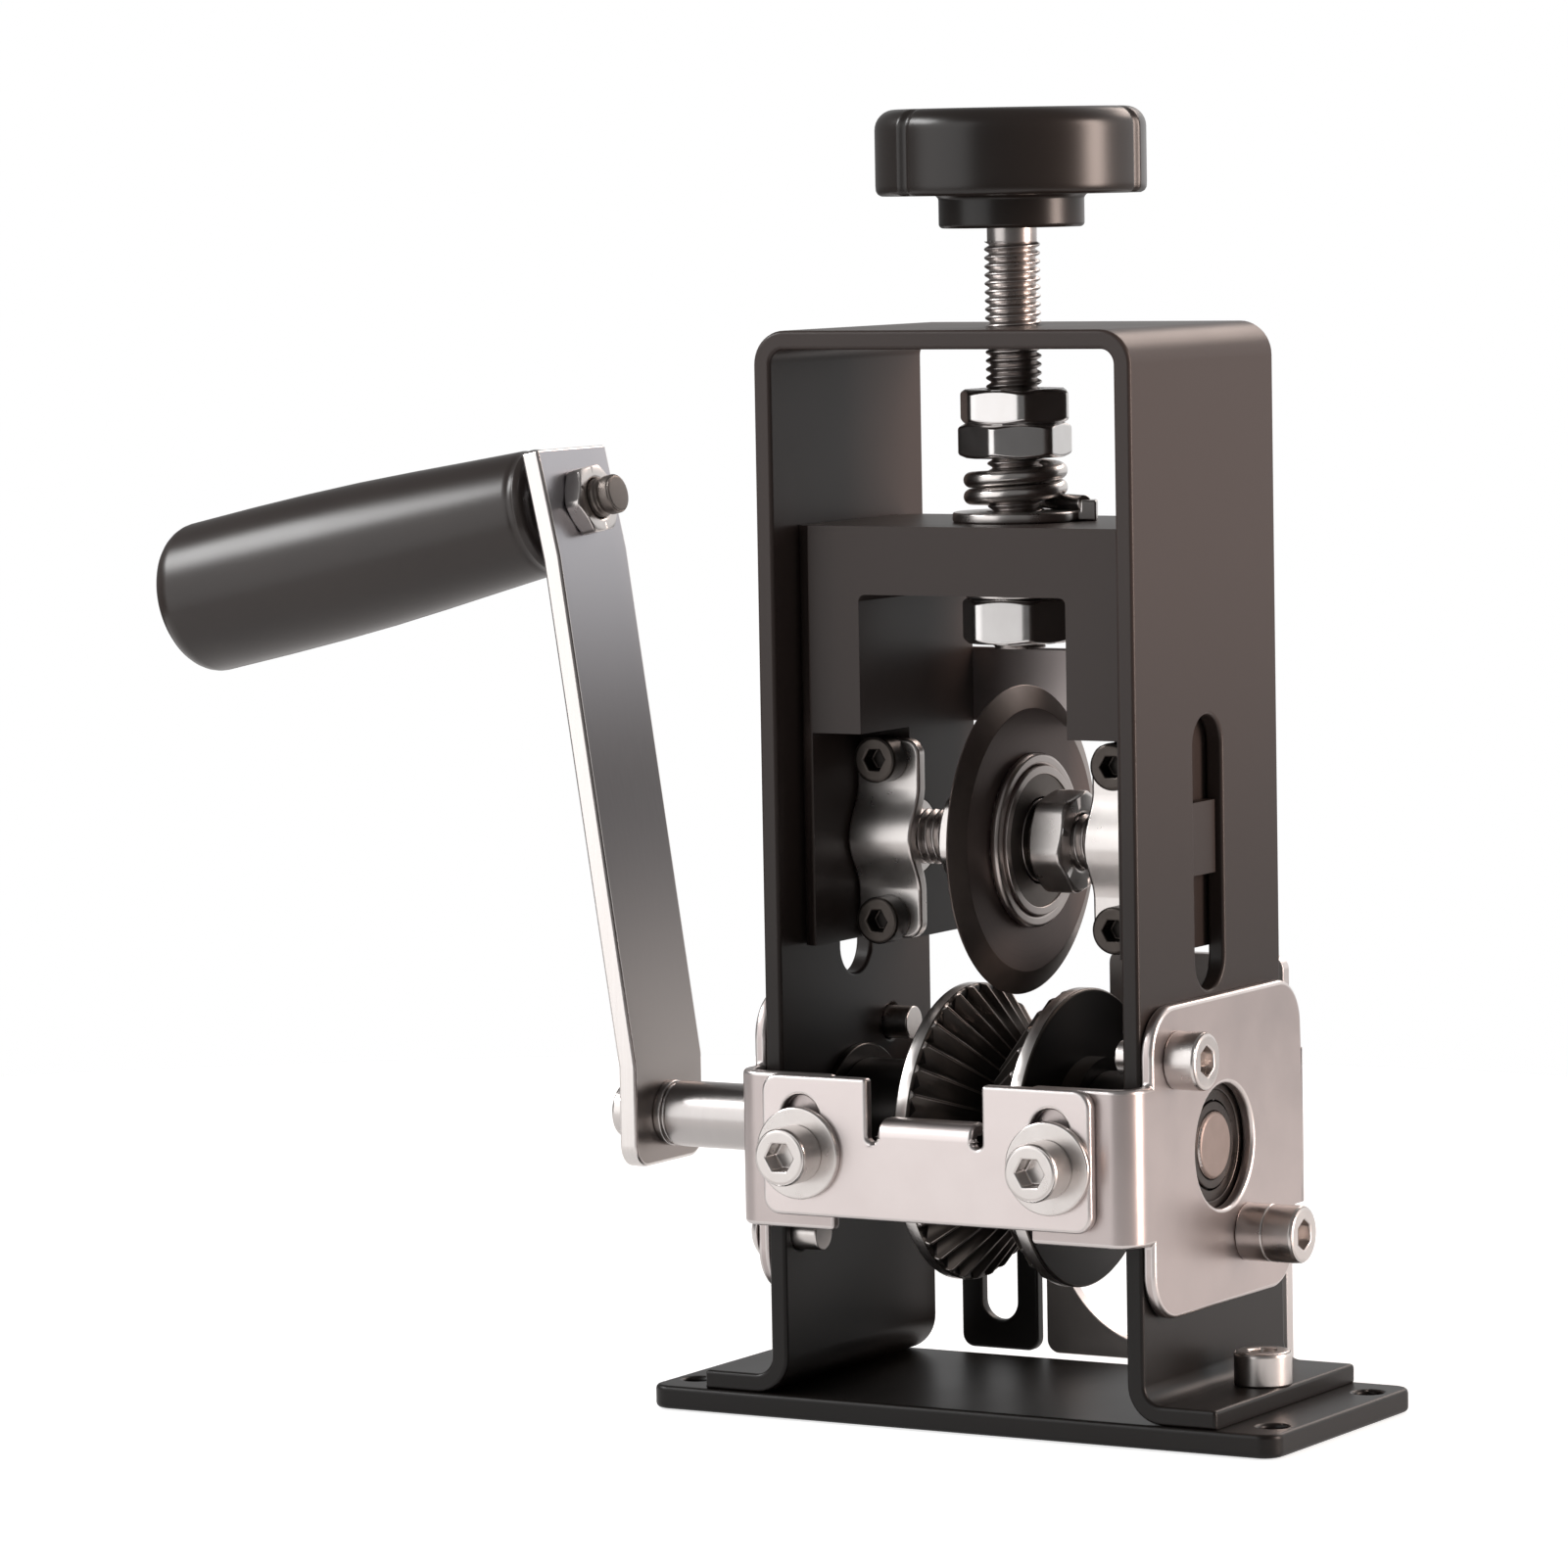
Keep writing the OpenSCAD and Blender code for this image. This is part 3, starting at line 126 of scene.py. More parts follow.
# Floor: a round sheet of white paper that keeps the machine's shadow and ends before the
# dim front of the room. It glows to the lens and clear rays, and less in reflections.
PAPER_R = 0.38
PAPER_PLACE = (-0.10, 0.0, -0.0002)
GLOW_IN_METAL = 0.65
sweep_paper = bpy.data.materials.new("white_sweep_paper")
sweep_paper.use_nodes = True
tree = sweep_paper.node_tree
tree.nodes.clear()
rays = add_node(tree, "ShaderNodeLightPath")
seen = add_node(tree, "ShaderNodeMath", operation="MAXIMUM", links={
    0: rays.outputs["Is Camera Ray"],
    1: rays.outputs["Is Transmission Ray"],
})
mirror = add_node(tree, "ShaderNodeMath", {1: GLOW_IN_METAL},
    {0: rays.outputs["Is Glossy Ray"]}, operation="MULTIPLY")
seen = add_node(tree, "ShaderNodeMath", operation="MAXIMUM",
    links={0: seen.outputs[0], 1: mirror.outputs[0]})
paper = add_node(tree, "ShaderNodeBsdfDiffuse", {"Color": to_linear("#bababa")})
glow = add_node(tree, "ShaderNodeEmission", {"Color": WHITE, "Strength": 0.74})
both = add_node(tree, "ShaderNodeAddShader", links={0: paper.outputs[0], 1: glow.outputs[0]})
shown = add_node(tree, "ShaderNodeMixShader",
    links={0: seen.outputs[0], 1: paper.outputs[0], 2: both.outputs[0]})
add_node(tree, "ShaderNodeOutputMaterial", links={"Surface": shown.outputs[0]})
shape = bmesh.new()
bmesh.ops.create_circle(shape, cap_ends=True, segments=96, radius=PAPER_R)
bmesh.ops.translate(shape, verts=shape.verts, vec=PAPER_PLACE)
sweep_floor = bpy.data.objects.new("sweep_floor", bpy.data.meshes.new("sweep_floor"))
shape.to_mesh(sweep_floor.data)
shape.free()
sweep_floor.data.materials.append(sweep_paper)
bpy.context.scene.collection.objects.link(sweep_floor)

# Lamps: a wide soft box at the front left, a narrow warm one at the right, one above at
# the left for the grip, and a warm one high behind that picks out the top's rear edge.
LIT_POINT = Vector((0.0, 0.0, 0.10))
for lamp_name, place, power, width, tall, colour in (
    ("soft_box_left", (-0.60, -1.00, 0.34), 6.2, 1.1, 1.2, "#ffffff"),
    ("soft_box_right", (0.97, 0.25, 0.26), 14.0, 0.32, 0.8, "#ffe8dc"),
    ("soft_box_above", (-0.88, -0.42, 0.79), 8.0, 0.6, 0.3, "#ffffff"),
    ("soft_box_behind", (0.12, 1.05, 0.74), 3.4, 0.7, 0.3, "#ffe9dd"),
):
    lamp = bpy.data.objects.new(lamp_name, bpy.data.lights.new(lamp_name, "AREA"))
    lamp.data.shape = "RECTANGLE"
    lamp.data.size = width
    lamp.data.size_y = tall
    lamp.data.energy = power
    lamp.data.color = to_linear(colour)[:3]
    lamp.visible_camera = False
    lamp.location = place
    lamp.rotation_mode = "QUATERNION"
    lamp.rotation_quaternion = (Vector(place) - LIT_POINT).to_track_quat("Z", "Y")
    bpy.context.scene.collection.objects.link(lamp)

# Base plate, frame and rear stay: steel plate and strip, cut, bent and sprayed with black
# satin powder. Two screws hold the frame's feet on the plate, and the stay hangs on the
# left bracket.
SHARP = math.radians(28)


def start_material(name, metallic=0.0, roughness=0.4):
    """A new material, its node tree, its surface shader and the piece's own coordinates."""
    new = bpy.data.materials.new(name)
    new.use_nodes = True
    shader = new.node_tree.nodes["Principled BSDF"]
    shader.inputs["Metallic"].default_value = metallic
    shader.inputs["Roughness"].default_value = roughness
    place = add_node(new.node_tree, "ShaderNodeTexCoord")
    return new, new.node_tree, shader, place.outputs["Object"]


def link_surface(tree, surface, tint, sheen=None, bump=None):
    """Links a surface's colour, and its roughness and relief where they vary."""
    tree.links.new(tint.outputs["Result"], surface.inputs["Base Color"])
    if sheen:
        tree.links.new(sheen.outputs["Result"], surface.inputs["Roughness"])
    if bump:
        tree.links.new(bump.outputs["Normal"], surface.inputs["Normal"])


def settle(shape, name, nodes, body, materials, edge=0.0, segments=3,
        edge_material=-1, sharp=SHARP, clamp=False):
    """Makes a finished shape a piece that stands for its solids, its sharp edges rounded.

    The edge is the width of the rounding in millimetres."""
    mesh = bpy.data.meshes.new(name)
    shape.to_mesh(mesh)
    shape.free()
    piece = bpy.data.objects.new(name, mesh)
    bpy.context.scene.collection.objects.link(piece)
    for material in materials:
        mesh.materials.append(material)
    mesh.polygons.foreach_set("use_smooth", [True] * len(mesh.polygons))
    if edge:
        rounding = piece.modifiers.new("broken_edges", "BEVEL")
        rounding.width = edge / 1000
        rounding.segments = segments
        rounding.limit_method = "WEIGHT" if "bevel_weight_edge" in mesh.attributes else "ANGLE"
        rounding.angle_limit = sharp
        rounding.use_clamp_overlap = clamp
        rounding.material = edge_material
        rounding.face_strength_mode = "FSTR_AFFECTED"
    even = piece.modifiers.new("even_shading", "WEIGHTED_NORMAL")
    even.keep_sharp = True
    even.use_face_influence = bool(edge)
    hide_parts(*nodes)
    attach(piece, body)


def soften(node, name, body, materials, edge, segments=3, part_of=None,
        edge_material=-1, clamp=False, long_edges=0.0, kept_sharp=None):
    """A copy of a solid with its triangles merged to faces and its edges broken.

    part_of picks each face's material. long_edges, in millimetres, breaks only edges longer
    than that. kept_sharp is true for the points of a region whose edges stay as cut."""
    shape = bmesh.new()
    shape.from_mesh(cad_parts[node].data)
    bmesh.ops.remove_doubles(shape, verts=shape.verts, dist=2e-6)
    bmesh.ops.dissolve_limit(shape, angle_limit=math.radians(0.6), delimit={"NORMAL"},
        use_dissolve_boundaries=False, verts=shape.verts, edges=shape.edges)
    for face in shape.faces:
        face.material_index = part_of(face) if part_of else 0
    weight = shape.edges.layers.float.new("bevel_weight_edge") if kept_sharp else None
    sharp_lines = [line for line in shape.edges if line.calc_face_angle(0) > SHARP]
    if kept_sharp:
        for line in sharp_lines:
            if not all(kept_sharp(vert.co) for vert in line.verts):
                line[weight] = 1.0
    if long_edges:
        chosen = [line for line in sharp_lines if line.calc_length() * 1000 > long_edges
            and (line.is_convex or edge_material < 0)]
        bmesh.ops.bevel(shape, geom=chosen, offset=edge / 1000, offset_type="OFFSET",
            segments=segments, profile=0.5, affect="EDGES", clamp_overlap=True,
            material=edge_material)
        edge = 0
    settle(shape, name, [node], body, materials, edge, segments, edge_material,
        clamp=clamp)


# Black powder coat: a soft dull sheen, painted warm grey as painted light higher up and
# darker towards the foot as painted shade. Its gloss drifts in clouds of 25 mm. The real
# orange peel, half a millimetre across, is drawn twice as coarse, because it wouldn't show.
powder_coat, tree, surface, here = start_material("black_powder_coat", roughness=0.36)
surface.inputs["Specular IOR Level"].default_value = 0.27
height = add_node(tree, "ShaderNodeSeparateXYZ", links={"Vector": here})
# Painted shade: the coat's colour darkens from 150 mm down to 15 mm above the bench.
foot_shade = add_node(tree, "ShaderNodeMapRange", {"From Min": 0.015, "From Max": 0.15},
    {"Value": height.outputs["Z"]}, interpolation_type="SMOOTHSTEP")
peel = add_node(tree, "ShaderNodeTexNoise", {"Scale": 900.0, "Detail": 2.0}, {"Vector": here})
cloud = add_node(tree, "ShaderNodeTexNoise", {"Scale": 40.0, "Detail": 3.0}, {"Vector": here})
tint = add_node(tree, "ShaderNodeMix", {"A": to_linear("#110d0b"), "B": to_linear("#3b322f")},
    {"Factor": foot_shade.outputs["Result"]}, data_type="RGBA")
sheen = add_node(tree, "ShaderNodeMapRange", {"To Min": 0.33, "To Max": 0.42},
    {"Value": cloud.outputs["Fac"]})
bump = add_node(tree, "ShaderNodeBump", {"Strength": 0.05, "Distance": 0.00004},
    {"Height": peel.outputs["Fac"]})
link_surface(tree, surface, tint, sheen, bump)
for node, name, edge in (
    ("base_plate", "bench_plate", 0.7),
    ("frame", "bent_frame", 0.6),
    ("rear_stay", "slotted_rear_stay", 0.4),
):
    soften(node, name, "stand", [powder_coat], edge)

# Side brackets, wire guide and carrier stay: sheet steel, laser cut, bent and nickel
# plated. The brackets are screwed to the legs, and carry the guide on their front straps.
# The stay is screwed across the carrier's back.
STRAP_Y = 22.3
STRAP_LOW = 24.9
STRAP_HIGH = 56.3


def mottled_metal(name, dark, light, scale, smooth, rough=None, metallic=1.0, detail=3.0,
        stretch=None):
    """A metal whose tint drifts between two colours in soft clouds, so many for a metre.

    Its roughness drifts from smooth to rough with them, or stays smooth where rough isn't
    given. A stretch is a scale for each axis that draws the clouds out to lines."""
    new, tree, surface, here = start_material(name, metallic, smooth)
    if stretch:
        drawn = add_node(tree, "ShaderNodeMapping", {"Scale": stretch}, {"Vector": here})
        here = drawn.outputs[0]
    clouds = add_node(tree, "ShaderNodeTexNoise", {"Scale": scale, "Detail": detail},
        {"Vector": here})
    tint = add_node(tree, "ShaderNodeMix", {"A": to_linear(dark), "B": to_linear(light)},
        {"Factor": clouds.outputs["Fac"]}, data_type="RGBA")
    sheen = None
    if rough:
        sheen = add_node(tree, "ShaderNodeMapRange", {"To Min": smooth, "To Max": rough},
            {"Value": clouds.outputs["Fac"]})
    link_surface(tree, surface, tint, sheen)
    return new


def strap_root(point):
    """True where a bracket's rear strap leaves the sheet, whose edges there stay as cut."""
    return point.y > STRAP_Y / 1000 and STRAP_LOW / 1000 < point.z < STRAP_HIGH / 1000


# Satin nickel plate: a warm grey with a soft even sheen, in clouds of 6 mm. The matt grit
# under it, a tenth of a millimetre, is drawn at half a millimetre so that it shows.
satin_nickel, tree, surface, here = start_material("satin_nickel_plate", 1.0, 0.34)
haze = add_node(tree, "ShaderNodeTexNoise", {"Scale": 160.0, "Detail": 4.0}, {"Vector": here})
tint = add_node(tree, "ShaderNodeMix", {"A": to_linear("#b0a6a4"), "B": to_linear("#bab0ae")},
    {"Factor": haze.outputs["Fac"]}, data_type="RGBA", name="plate_tint")
sheen = add_node(tree, "ShaderNodeMapRange", {"To Min": 0.31, "To Max": 0.37},
    {"Value": haze.outputs["Fac"]})
grit = add_node(tree, "ShaderNodeTexNoise", {"Scale": 1800.0, "Detail": 2.0}, {"Vector": here})
bump = add_node(tree, "ShaderNodeBump", {"Strength": 0.035, "Distance": 0.00002},
    {"Height": grit.outputs["Fac"]})
link_surface(tree, surface, tint, sheen, bump)
# The guide is the same plating painted paler, as painted light where it faces the front lamp.
# Edges rounded in the tumbler are polished brighter and also carry a painted highlight, so
# that a light line runs round each sheet.
paler_lit_nickel = satin_nickel.copy()
paler_lit_nickel.name = "satin_nickel_painted_light"
paler_light_tint = paler_lit_nickel.node_tree.nodes["plate_tint"]
paler_light_tint.inputs["A"].default_value = to_linear("#cbc1bf")
paler_light_tint.inputs["B"].default_value = to_linear("#d4cbc9")
tumbled_and_highlit_edge = mottled_metal("tumbled_nickel_and_highlight", "#c6bfbd", "#d3cdcb", 300.0, 0.33)
for side in ("left", "right"):
    soften(side + "_bracket", side + "_side_bracket", "stand",
        [satin_nickel, tumbled_and_highlit_edge], 0.65, edge_material=1, kept_sharp=strap_root)
soften("guide_plate", "wire_guide_plate", "wire_guide",
    [paler_lit_nickel, tumbled_and_highlit_edge], 0.6, edge_material=1)
soften("carrier_stay", "carrier_cross_plate", "slider", [satin_nickel], 0.3)

# Outlet plate: sheet steel as rolled, screwed to the right bracket's rear strap. Its darker
# grey is painted shade for the dark it mirrors, with patches of mill scale of 4 to 5 mm, and
# its cut edges are tumbled brighter with a painted highlight.
rolled_steel = mottled_metal("shaded_rolled_steel", "#6f6a67", "#827c79", 220.0, 0.30, 0.42,
    detail=4.0)
soften("outlet_plate", "round_outlet_plate", "stand",
    [rolled_steel, tumbled_and_highlit_edge], 0.35, edge_material=1, clamp=True,
    part_of=lambda face: 0 if abs(face.normal.y) > 0.7 else 1)

# Screws, washers, nuts and the collar: cold headed steel that fixes the brackets, the
# guide, the rear plates, the arm and the carrier stay. Satin zinc plate from the barrel
# gives a pale grey that reflects softly, in clouds of 2 to 3 mm.
satin_zinc = mottled_metal("satin_zinc_plate", "#c4bebb", "#d5d0cd", 420.0, 0.24, 0.34)
for node, name, body, edge in (
    ("foot_screws", "foot_cap_screws", "stand", 0.3),
    ("right_bracket_screws", "right_bracket_cap_screws", "stand", 0.3),
    ("left_bracket_screws", "left_bracket_button_screws", "stand", 0.25),
    ("spacer_collar", "side_screw_collar", "stand", 0.3),
    ("guide_screws", "guide_cap_screws", "stand", 0.3),
    ("guide_washers", "guide_flat_washers", "stand", 0.3),
    ("guide_nuts", "guide_hex_nuts", "stand", 0.08),
    ("rear_screws", "rear_cap_screws", "stand", 0.3),
    ("rear_washers", "rear_flat_washers", "stand", 0.3),
    ("rear_nuts", "rear_hex_nuts", "stand", 0.08),
    ("crank_screw", "crank_end_screw", "crank", 0.3),
    ("stay_screws", "stay_cap_screws", "slider", 0.2),
):
    soften(node, name, body, [satin_zinc], edge)

# Shaft bearings: flanged ball bearings pressed into the legs. A film of oil darkens their
# ground rings and shields in patches of 3 mm, and the balls inside are polished to a mirror.
oiled_bearing_steel = mottled_metal("oiled_bearing_steel", "#413c39", "#514b48", 300.0, 0.22,
    0.36)
for node, name, body, edge in (
    ("shaft_bearing_outer", "shaft_bearing_outer_rings", "stand", 0.25),
    ("shaft_bearing_shields", "shaft_bearing_shield_rings", "stand", 0.05),
    ("shaft_bearing_inner", "shaft_bearing_inner_rings", "crank", 0.2),
):
    soften(node, name, body, [oiled_bearing_steel], edge)
polished_ball_steel = mottled_metal("polished_ball_steel", "#b9b6b4", "#cfcccb", 500.0, 0.12,
    detail=2.0)
for node in ("shaft_bearing_balls", "blade_bearing_balls"):
    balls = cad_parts[node]
    balls.data.materials.clear()
    balls.data.materials.append(polished_ball_steel)

# Drive shaft: a ground steel bar across both legs, with a flat end for the arm. Grinding
# rings give its side a fine stripe. They are drawn 0.4 mm apart, coarser than they are, or
# they wouldn't show. The sawn end face is duller and browner, because less light comes back.
SHAFT_Z = 41.0
SHAFT_END_X = 30.0
ground_steel = mottled_metal("ground_shaft_steel", "#b5b0ae", "#bab5b3", 1.0, 0.24, 0.27,
    stretch=(2600.0, 90.0, 90.0))
sawn_steel = mottled_metal("sawn_shaft_end", "#80746f", "#8e827d", 500.0, 0.46, metallic=0.75)


def shaft_zone(face):
    """1 for the sawn end face at the right, 0 for the rest of the shaft."""
    return 1 if face.normal.x > 0.7 and face.calc_center_median().x * 1000 > SHAFT_END_X else 0


soften("drive_shaft", "ground_drive_shaft", "crank", [ground_steel, sawn_steel],
    0.2, part_of=shaft_zone)

# Feed discs: a mirrored pair turned from tool steel, with V teeth milled in their cones,
# blackened and clamped on the shaft between spacer tubes.
RIM_R = 21.3
NECK_R = 11.5
# The black oxide leaves a deep brown black with little sheen, in clouds of 2.6 mm. The
# milled flanks are painted greyer, as painted light where they catch the lamps. The ridges
# wear down to bare dull steel, and their colour also holds a painted highlight.
blackened_disc = mottled_metal("blackened_tool_steel", "#1e1b1a", "#2b2725", 380.0, 0.28, 0.40,
    metallic=0.7)
teeth_painted_light = mottled_metal("lit_blackened_flanks", "#4b4541", "#5f5955", 420.0, 0.36,
    metallic=0.9)
worn_ridge_highlight = mottled_metal("worn_and_lit_ridges", "#8f8783", "#a39b97", 700.0, 0.42)
# The rims are ground bright afterwards, which gives a white line with a fine stripe round
# it, drawn 0.3 mm wide so that it shows.
bright_rim = mottled_metal("ground_bright_rim", "#d2ccc9", "#e0dbd8", 1.0, 0.24, 0.34,
    stretch=(3000.0, 60.0, 60.0))


def disc_zone(face):
    """0 for a feed disc's sides, 1 for its milled teeth, 2 for its ground rim."""
    middle = face.calc_center_median()
    outward = Vector((0.0, middle.y, middle.z - SHAFT_Z / 1000))
    radius = outward.length * 1000
    if radius > RIM_R and face.normal.dot(outward.normalized()) > 0.93:
        return 2
    return 0 if abs(face.normal.x) > 0.98 or radius < NECK_R else 1


for side in ("left", "right"):
    soften(side + "_feed_disc", side + "_toothed_disc", "crank",
        [blackened_disc, teeth_painted_light, bright_rim, worn_ridge_highlight], 0.16, 2, disc_zone, 3,
        long_edges=3.0)
soften("shaft_spacers", "shaft_spacer_tubes", "crank", [blackened_disc], 0.3)

# Crank arm: a flat steel bar, bent twice, with its sheared edges ground bright. It is
# screwed on the shaft's flat end and carries the handle at its top.


def arm_zone(face):
    """1 for the bar's sheared edges and ends, 0 for its brushed faces."""
    return 1 if abs(face.normal.y) > 0.7 or abs(face.normal.z) > 0.8 else 0


# Brushed steel: fine lines along the bar, drawn 0.7 mm wide and 40 mm long, coarser than
# they are, so that they show. Its colour holds painted shade across its middle and painted
# light towards its ends.
brushed_bar, tree, surface, here = start_material("brushed_steel_bar", 1.0, 0.3)
brushed = add_node(tree, "ShaderNodeMapping", {"Scale": (1500.0, 1500.0, 24.0)},
    {"Vector": here})
lines = add_node(tree, "ShaderNodeTexNoise", {"Scale": 1.0, "Detail": 4.0},
    {"Vector": brushed.outputs[0]})
height = add_node(tree, "ShaderNodeSeparateXYZ", links={"Vector": here})
rise = add_node(tree, "ShaderNodeMapRange", {"From Min": 0.04, "From Max": 0.14},
    {"Value": height.outputs["Z"]})
# Painted light and shade: the bar's colour is darkest halfway up and lighter at its foot and
# top.
painted_light_ramp = add_node(tree, "ShaderNodeValToRGB", links={"Fac": rise.outputs["Result"]})
painted_light_ramp.color_ramp.interpolation = "EASE"
painted_light_ramp.color_ramp.elements[0].color = to_linear("#9a928e")
painted_light_ramp.color_ramp.elements[1].color = to_linear("#b4b2b6")
painted_light_ramp.color_ramp.elements.new(0.5).color = to_linear("#5a5656")
streak = add_node(tree, "ShaderNodeMapRange", {"To Min": 0.0, "To Max": 0.06},
    {"Value": lines.outputs["Fac"]})
tint = add_node(tree, "ShaderNodeMix", {"B": to_linear("#a8a3a2")},
    {"Factor": streak.outputs["Result"], "A": painted_light_ramp.outputs["Color"]}, data_type="RGBA")
sheen = add_node(tree, "ShaderNodeMapRange", {"To Min": 0.27, "To Max": 0.32},
    {"Value": lines.outputs["Fac"]})
link_surface(tree, surface, tint, sheen)
soften("crank_arm", "bent_crank_arm", "crank", [brushed_bar, bright_rim], 0.5,
    part_of=arm_zone, edge_material=1)

# Handle: a dark steel shoulder stud through the arm, with a nut inside and a washer outside.
# It droops outwards, as the arm's bent top does.
HANDLE_X = -74.844
HANDLE_Z = 133.6
DROOP = 12.6
on_handle = (Matrix.Translation((HANDLE_X / 1000, 0.0, HANDLE_Z / 1000))
    @ Matrix.Rotation(math.radians(-90 - DROOP), 4, "Y"))


def turn(profile, lie, steps=96):
    """A shape turned on a lathe from points (radius, length) in millimetres, laid in place.

    A profile that starts off the axis is closed to a ring."""
    shape = bmesh.new()
    corners = [shape.verts.new((radius / 1000, 0.0, length / 1000))
        for radius, length in profile]
    for first, second in zip(corners, corners[1:]):
        shape.edges.new((first, second))
    if profile[0][0] > 0:
        shape.edges.new((corners[-1], corners[0]))
    bmesh.ops.spin(shape, geom=shape.verts[:] + shape.edges[:], cent=(0, 0, 0), axis=(0, 0, 1),
        dvec=(0, 0, 0), angle=2 * math.pi, steps=steps, use_merge=True)
    bmesh.ops.remove_doubles(shape, verts=shape.verts, dist=1e-6)
    bmesh.ops.recalc_face_normals(shape, faces=shape.faces)
    bmesh.ops.transform(shape, matrix=lie, verts=shape.verts)
    return shape


def raised(height):
    """Lays a turned shape some millimetres up its axis."""
    return Matrix.Translation((0.0, 0.0, height / 1000))


def shape_nut(across_flats, height, bore, twist, lie, corner=0.12):
    """A hexagon nut: turned with soft chamfers, then its wall pushed out to six flats.

    The twist is in degrees, and the corner is the radius of its six upright edges as a
    share of its size."""
    flat = across_flats / 2
    seat = flat * 0.965
    blank = flat * 1.1
    mouth = bore / 2 + 0.4
    chamfer = 0.3
    half_flat = math.radians(30)
    round_r = across_flats * corner
    centre = (flat - round_r) / math.cos(half_flat)
    meet = math.atan2(round_r / 2, centre + round_r * math.cos(half_flat))
    shape = turn([(bore / 2, chamfer), (mouth, 0), (seat, 0), (blank, chamfer),
        (blank, height - chamfer), (seat, height), (mouth, height),
        (bore / 2, height - chamfer)], Matrix.Identity(4), 144)
    for vert in shape.verts:
        if vert.co.xy.length * 1000 > seat + 0.1:
            angle = math.atan2(vert.co.y, vert.co.x) - math.radians(twist)
            off = abs((angle + half_flat) % math.radians(60) - half_flat)
            if off < meet:
                reach = math.sqrt(round_r ** 2 - (centre * math.sin(off)) ** 2)
                radius = centre * math.cos(off) + reach
            else:
                radius = flat / math.cos(half_flat - off)
            fall = (radius - seat) * math.tan(math.radians(24))
            out = vert.co.xy.normalized() * radius / 1000
            up = fall if vert.co.z * 1000 < height / 2 else height - fall
            vert.co = (out.x, out.y, up / 1000)
    bmesh.ops.transform(shape, matrix=lie, verts=shape.verts)
    return shape


handle_nut = shape_nut(across_flats=10.0, height=3.0, bore=6.1, twist=25.0,
    lie=on_handle @ raised(-3.0))
settle(handle_nut, "handle_hex_nut", ["handle_nut"], "crank", [satin_zinc], 0.2)
# Polished zinc plate: close to white where it meets the light, in clouds of 3 mm.
polished_zinc = mottled_metal("polished_zinc_plate", "#cac6c4", "#dcd9d8", 350.0, 0.20, 0.28)
soften("handle_washer", "handle_flat_washer", "crank", [polished_zinc], 0.25)
# Turned and oiled steel: a dark brown grey without highlights, in clouds of 3 mm.
dark_stud = mottled_metal("dark_turned_stud", "#716964", "#807873", 360.0, 0.42, metallic=0.9)
STUD_R = 3.0
TIP_GROOVE_R = 2.55
SHOULDER_R = 5.25
STUD_INNER = -6.6
STUD_OUTER = 64.1
# Its points run from the tip inside the arm: a chamfer, a groove, the shank with the nut on
# it, the shoulder in the grip's neck, and the shank again to the end.
settle(turn([(0, STUD_INNER), (2.6, STUD_INNER), (STUD_R, -6.3), (STUD_R, -4.7),
    (TIP_GROOVE_R, -4.4), (TIP_GROOVE_R, -4.0), (STUD_R, -3.7), (STUD_R, 4.2),
    (SHOULDER_R, 4.2), (SHOULDER_R, 7.2), (STUD_R, 7.2), (STUD_R, STUD_OUTER),
    (0, STUD_OUTER)], on_handle, 64),
    "handle_shoulder_stud", ["handle_stud"], "crank", [dark_stud], 0.25)

# Grip: turned to a long swelling shape with a bead at its neck and a rounded end, in black
# moulded nylon. It spins on the stud.
GRIP_LEN = 70.0
GRIP_Z = 4.6
GRIP_R = 11.8
GRIP_END_R = 4.0
GRIP_BORE_R = 3.1


def round_over(radius, length, edge, steps=8):
    """The points of a quarter round that ends a turned profile."""
    swings = [math.radians(90) * k / steps for k in range(steps + 1)]
    return [(radius - edge + edge * math.cos(swing), length - edge + edge * math.sin(swing))
        for swing in swings]


# Moulded nylon: a near black with a broad soft highlight that drifts in clouds of 17 mm. The
# fine spark grain of the mould, a fifth of a millimetre, is drawn at 0.7 mm to show.
moulded_black, tree, surface, here = start_material("moulded_black_nylon", roughness=0.3)
surface.inputs["IOR"].default_value = 1.44
spark = add_node(tree, "ShaderNodeTexNoise", {"Scale": 1500.0, "Detail": 3.0},
    {"Vector": here})
cloud = add_node(tree, "ShaderNodeTexNoise", {"Scale": 60.0, "Detail": 2.0}, {"Vector": here})
tint = add_node(tree, "ShaderNodeMix", {"A": to_linear("#1f1a18"), "B": to_linear("#28221f")},
    {"Factor": cloud.outputs["Fac"]}, data_type="RGBA", name="nylon_tint")
sheen = add_node(tree, "ShaderNodeMapRange", {"To Min": 0.27, "To Max": 0.33},
    {"Value": cloud.outputs["Fac"]})
bump = add_node(tree, "ShaderNodeBump", {"Strength": 0.03, "Distance": 0.00003},
    {"Height": spark.outputs["Fac"]})
link_surface(tree, surface, tint, sheen, bump)
# The grip is painted a little paler than the knob, as painted light for the highlight it
# catches.
grip_nylon = moulded_black.copy()
grip_nylon.name = "lit_handle_nylon"
grip_tint = grip_nylon.node_tree.nodes["nylon_tint"]
grip_tint.inputs["A"].default_value = to_linear("#2a2422")
grip_tint.inputs["B"].default_value = to_linear("#342d2a")
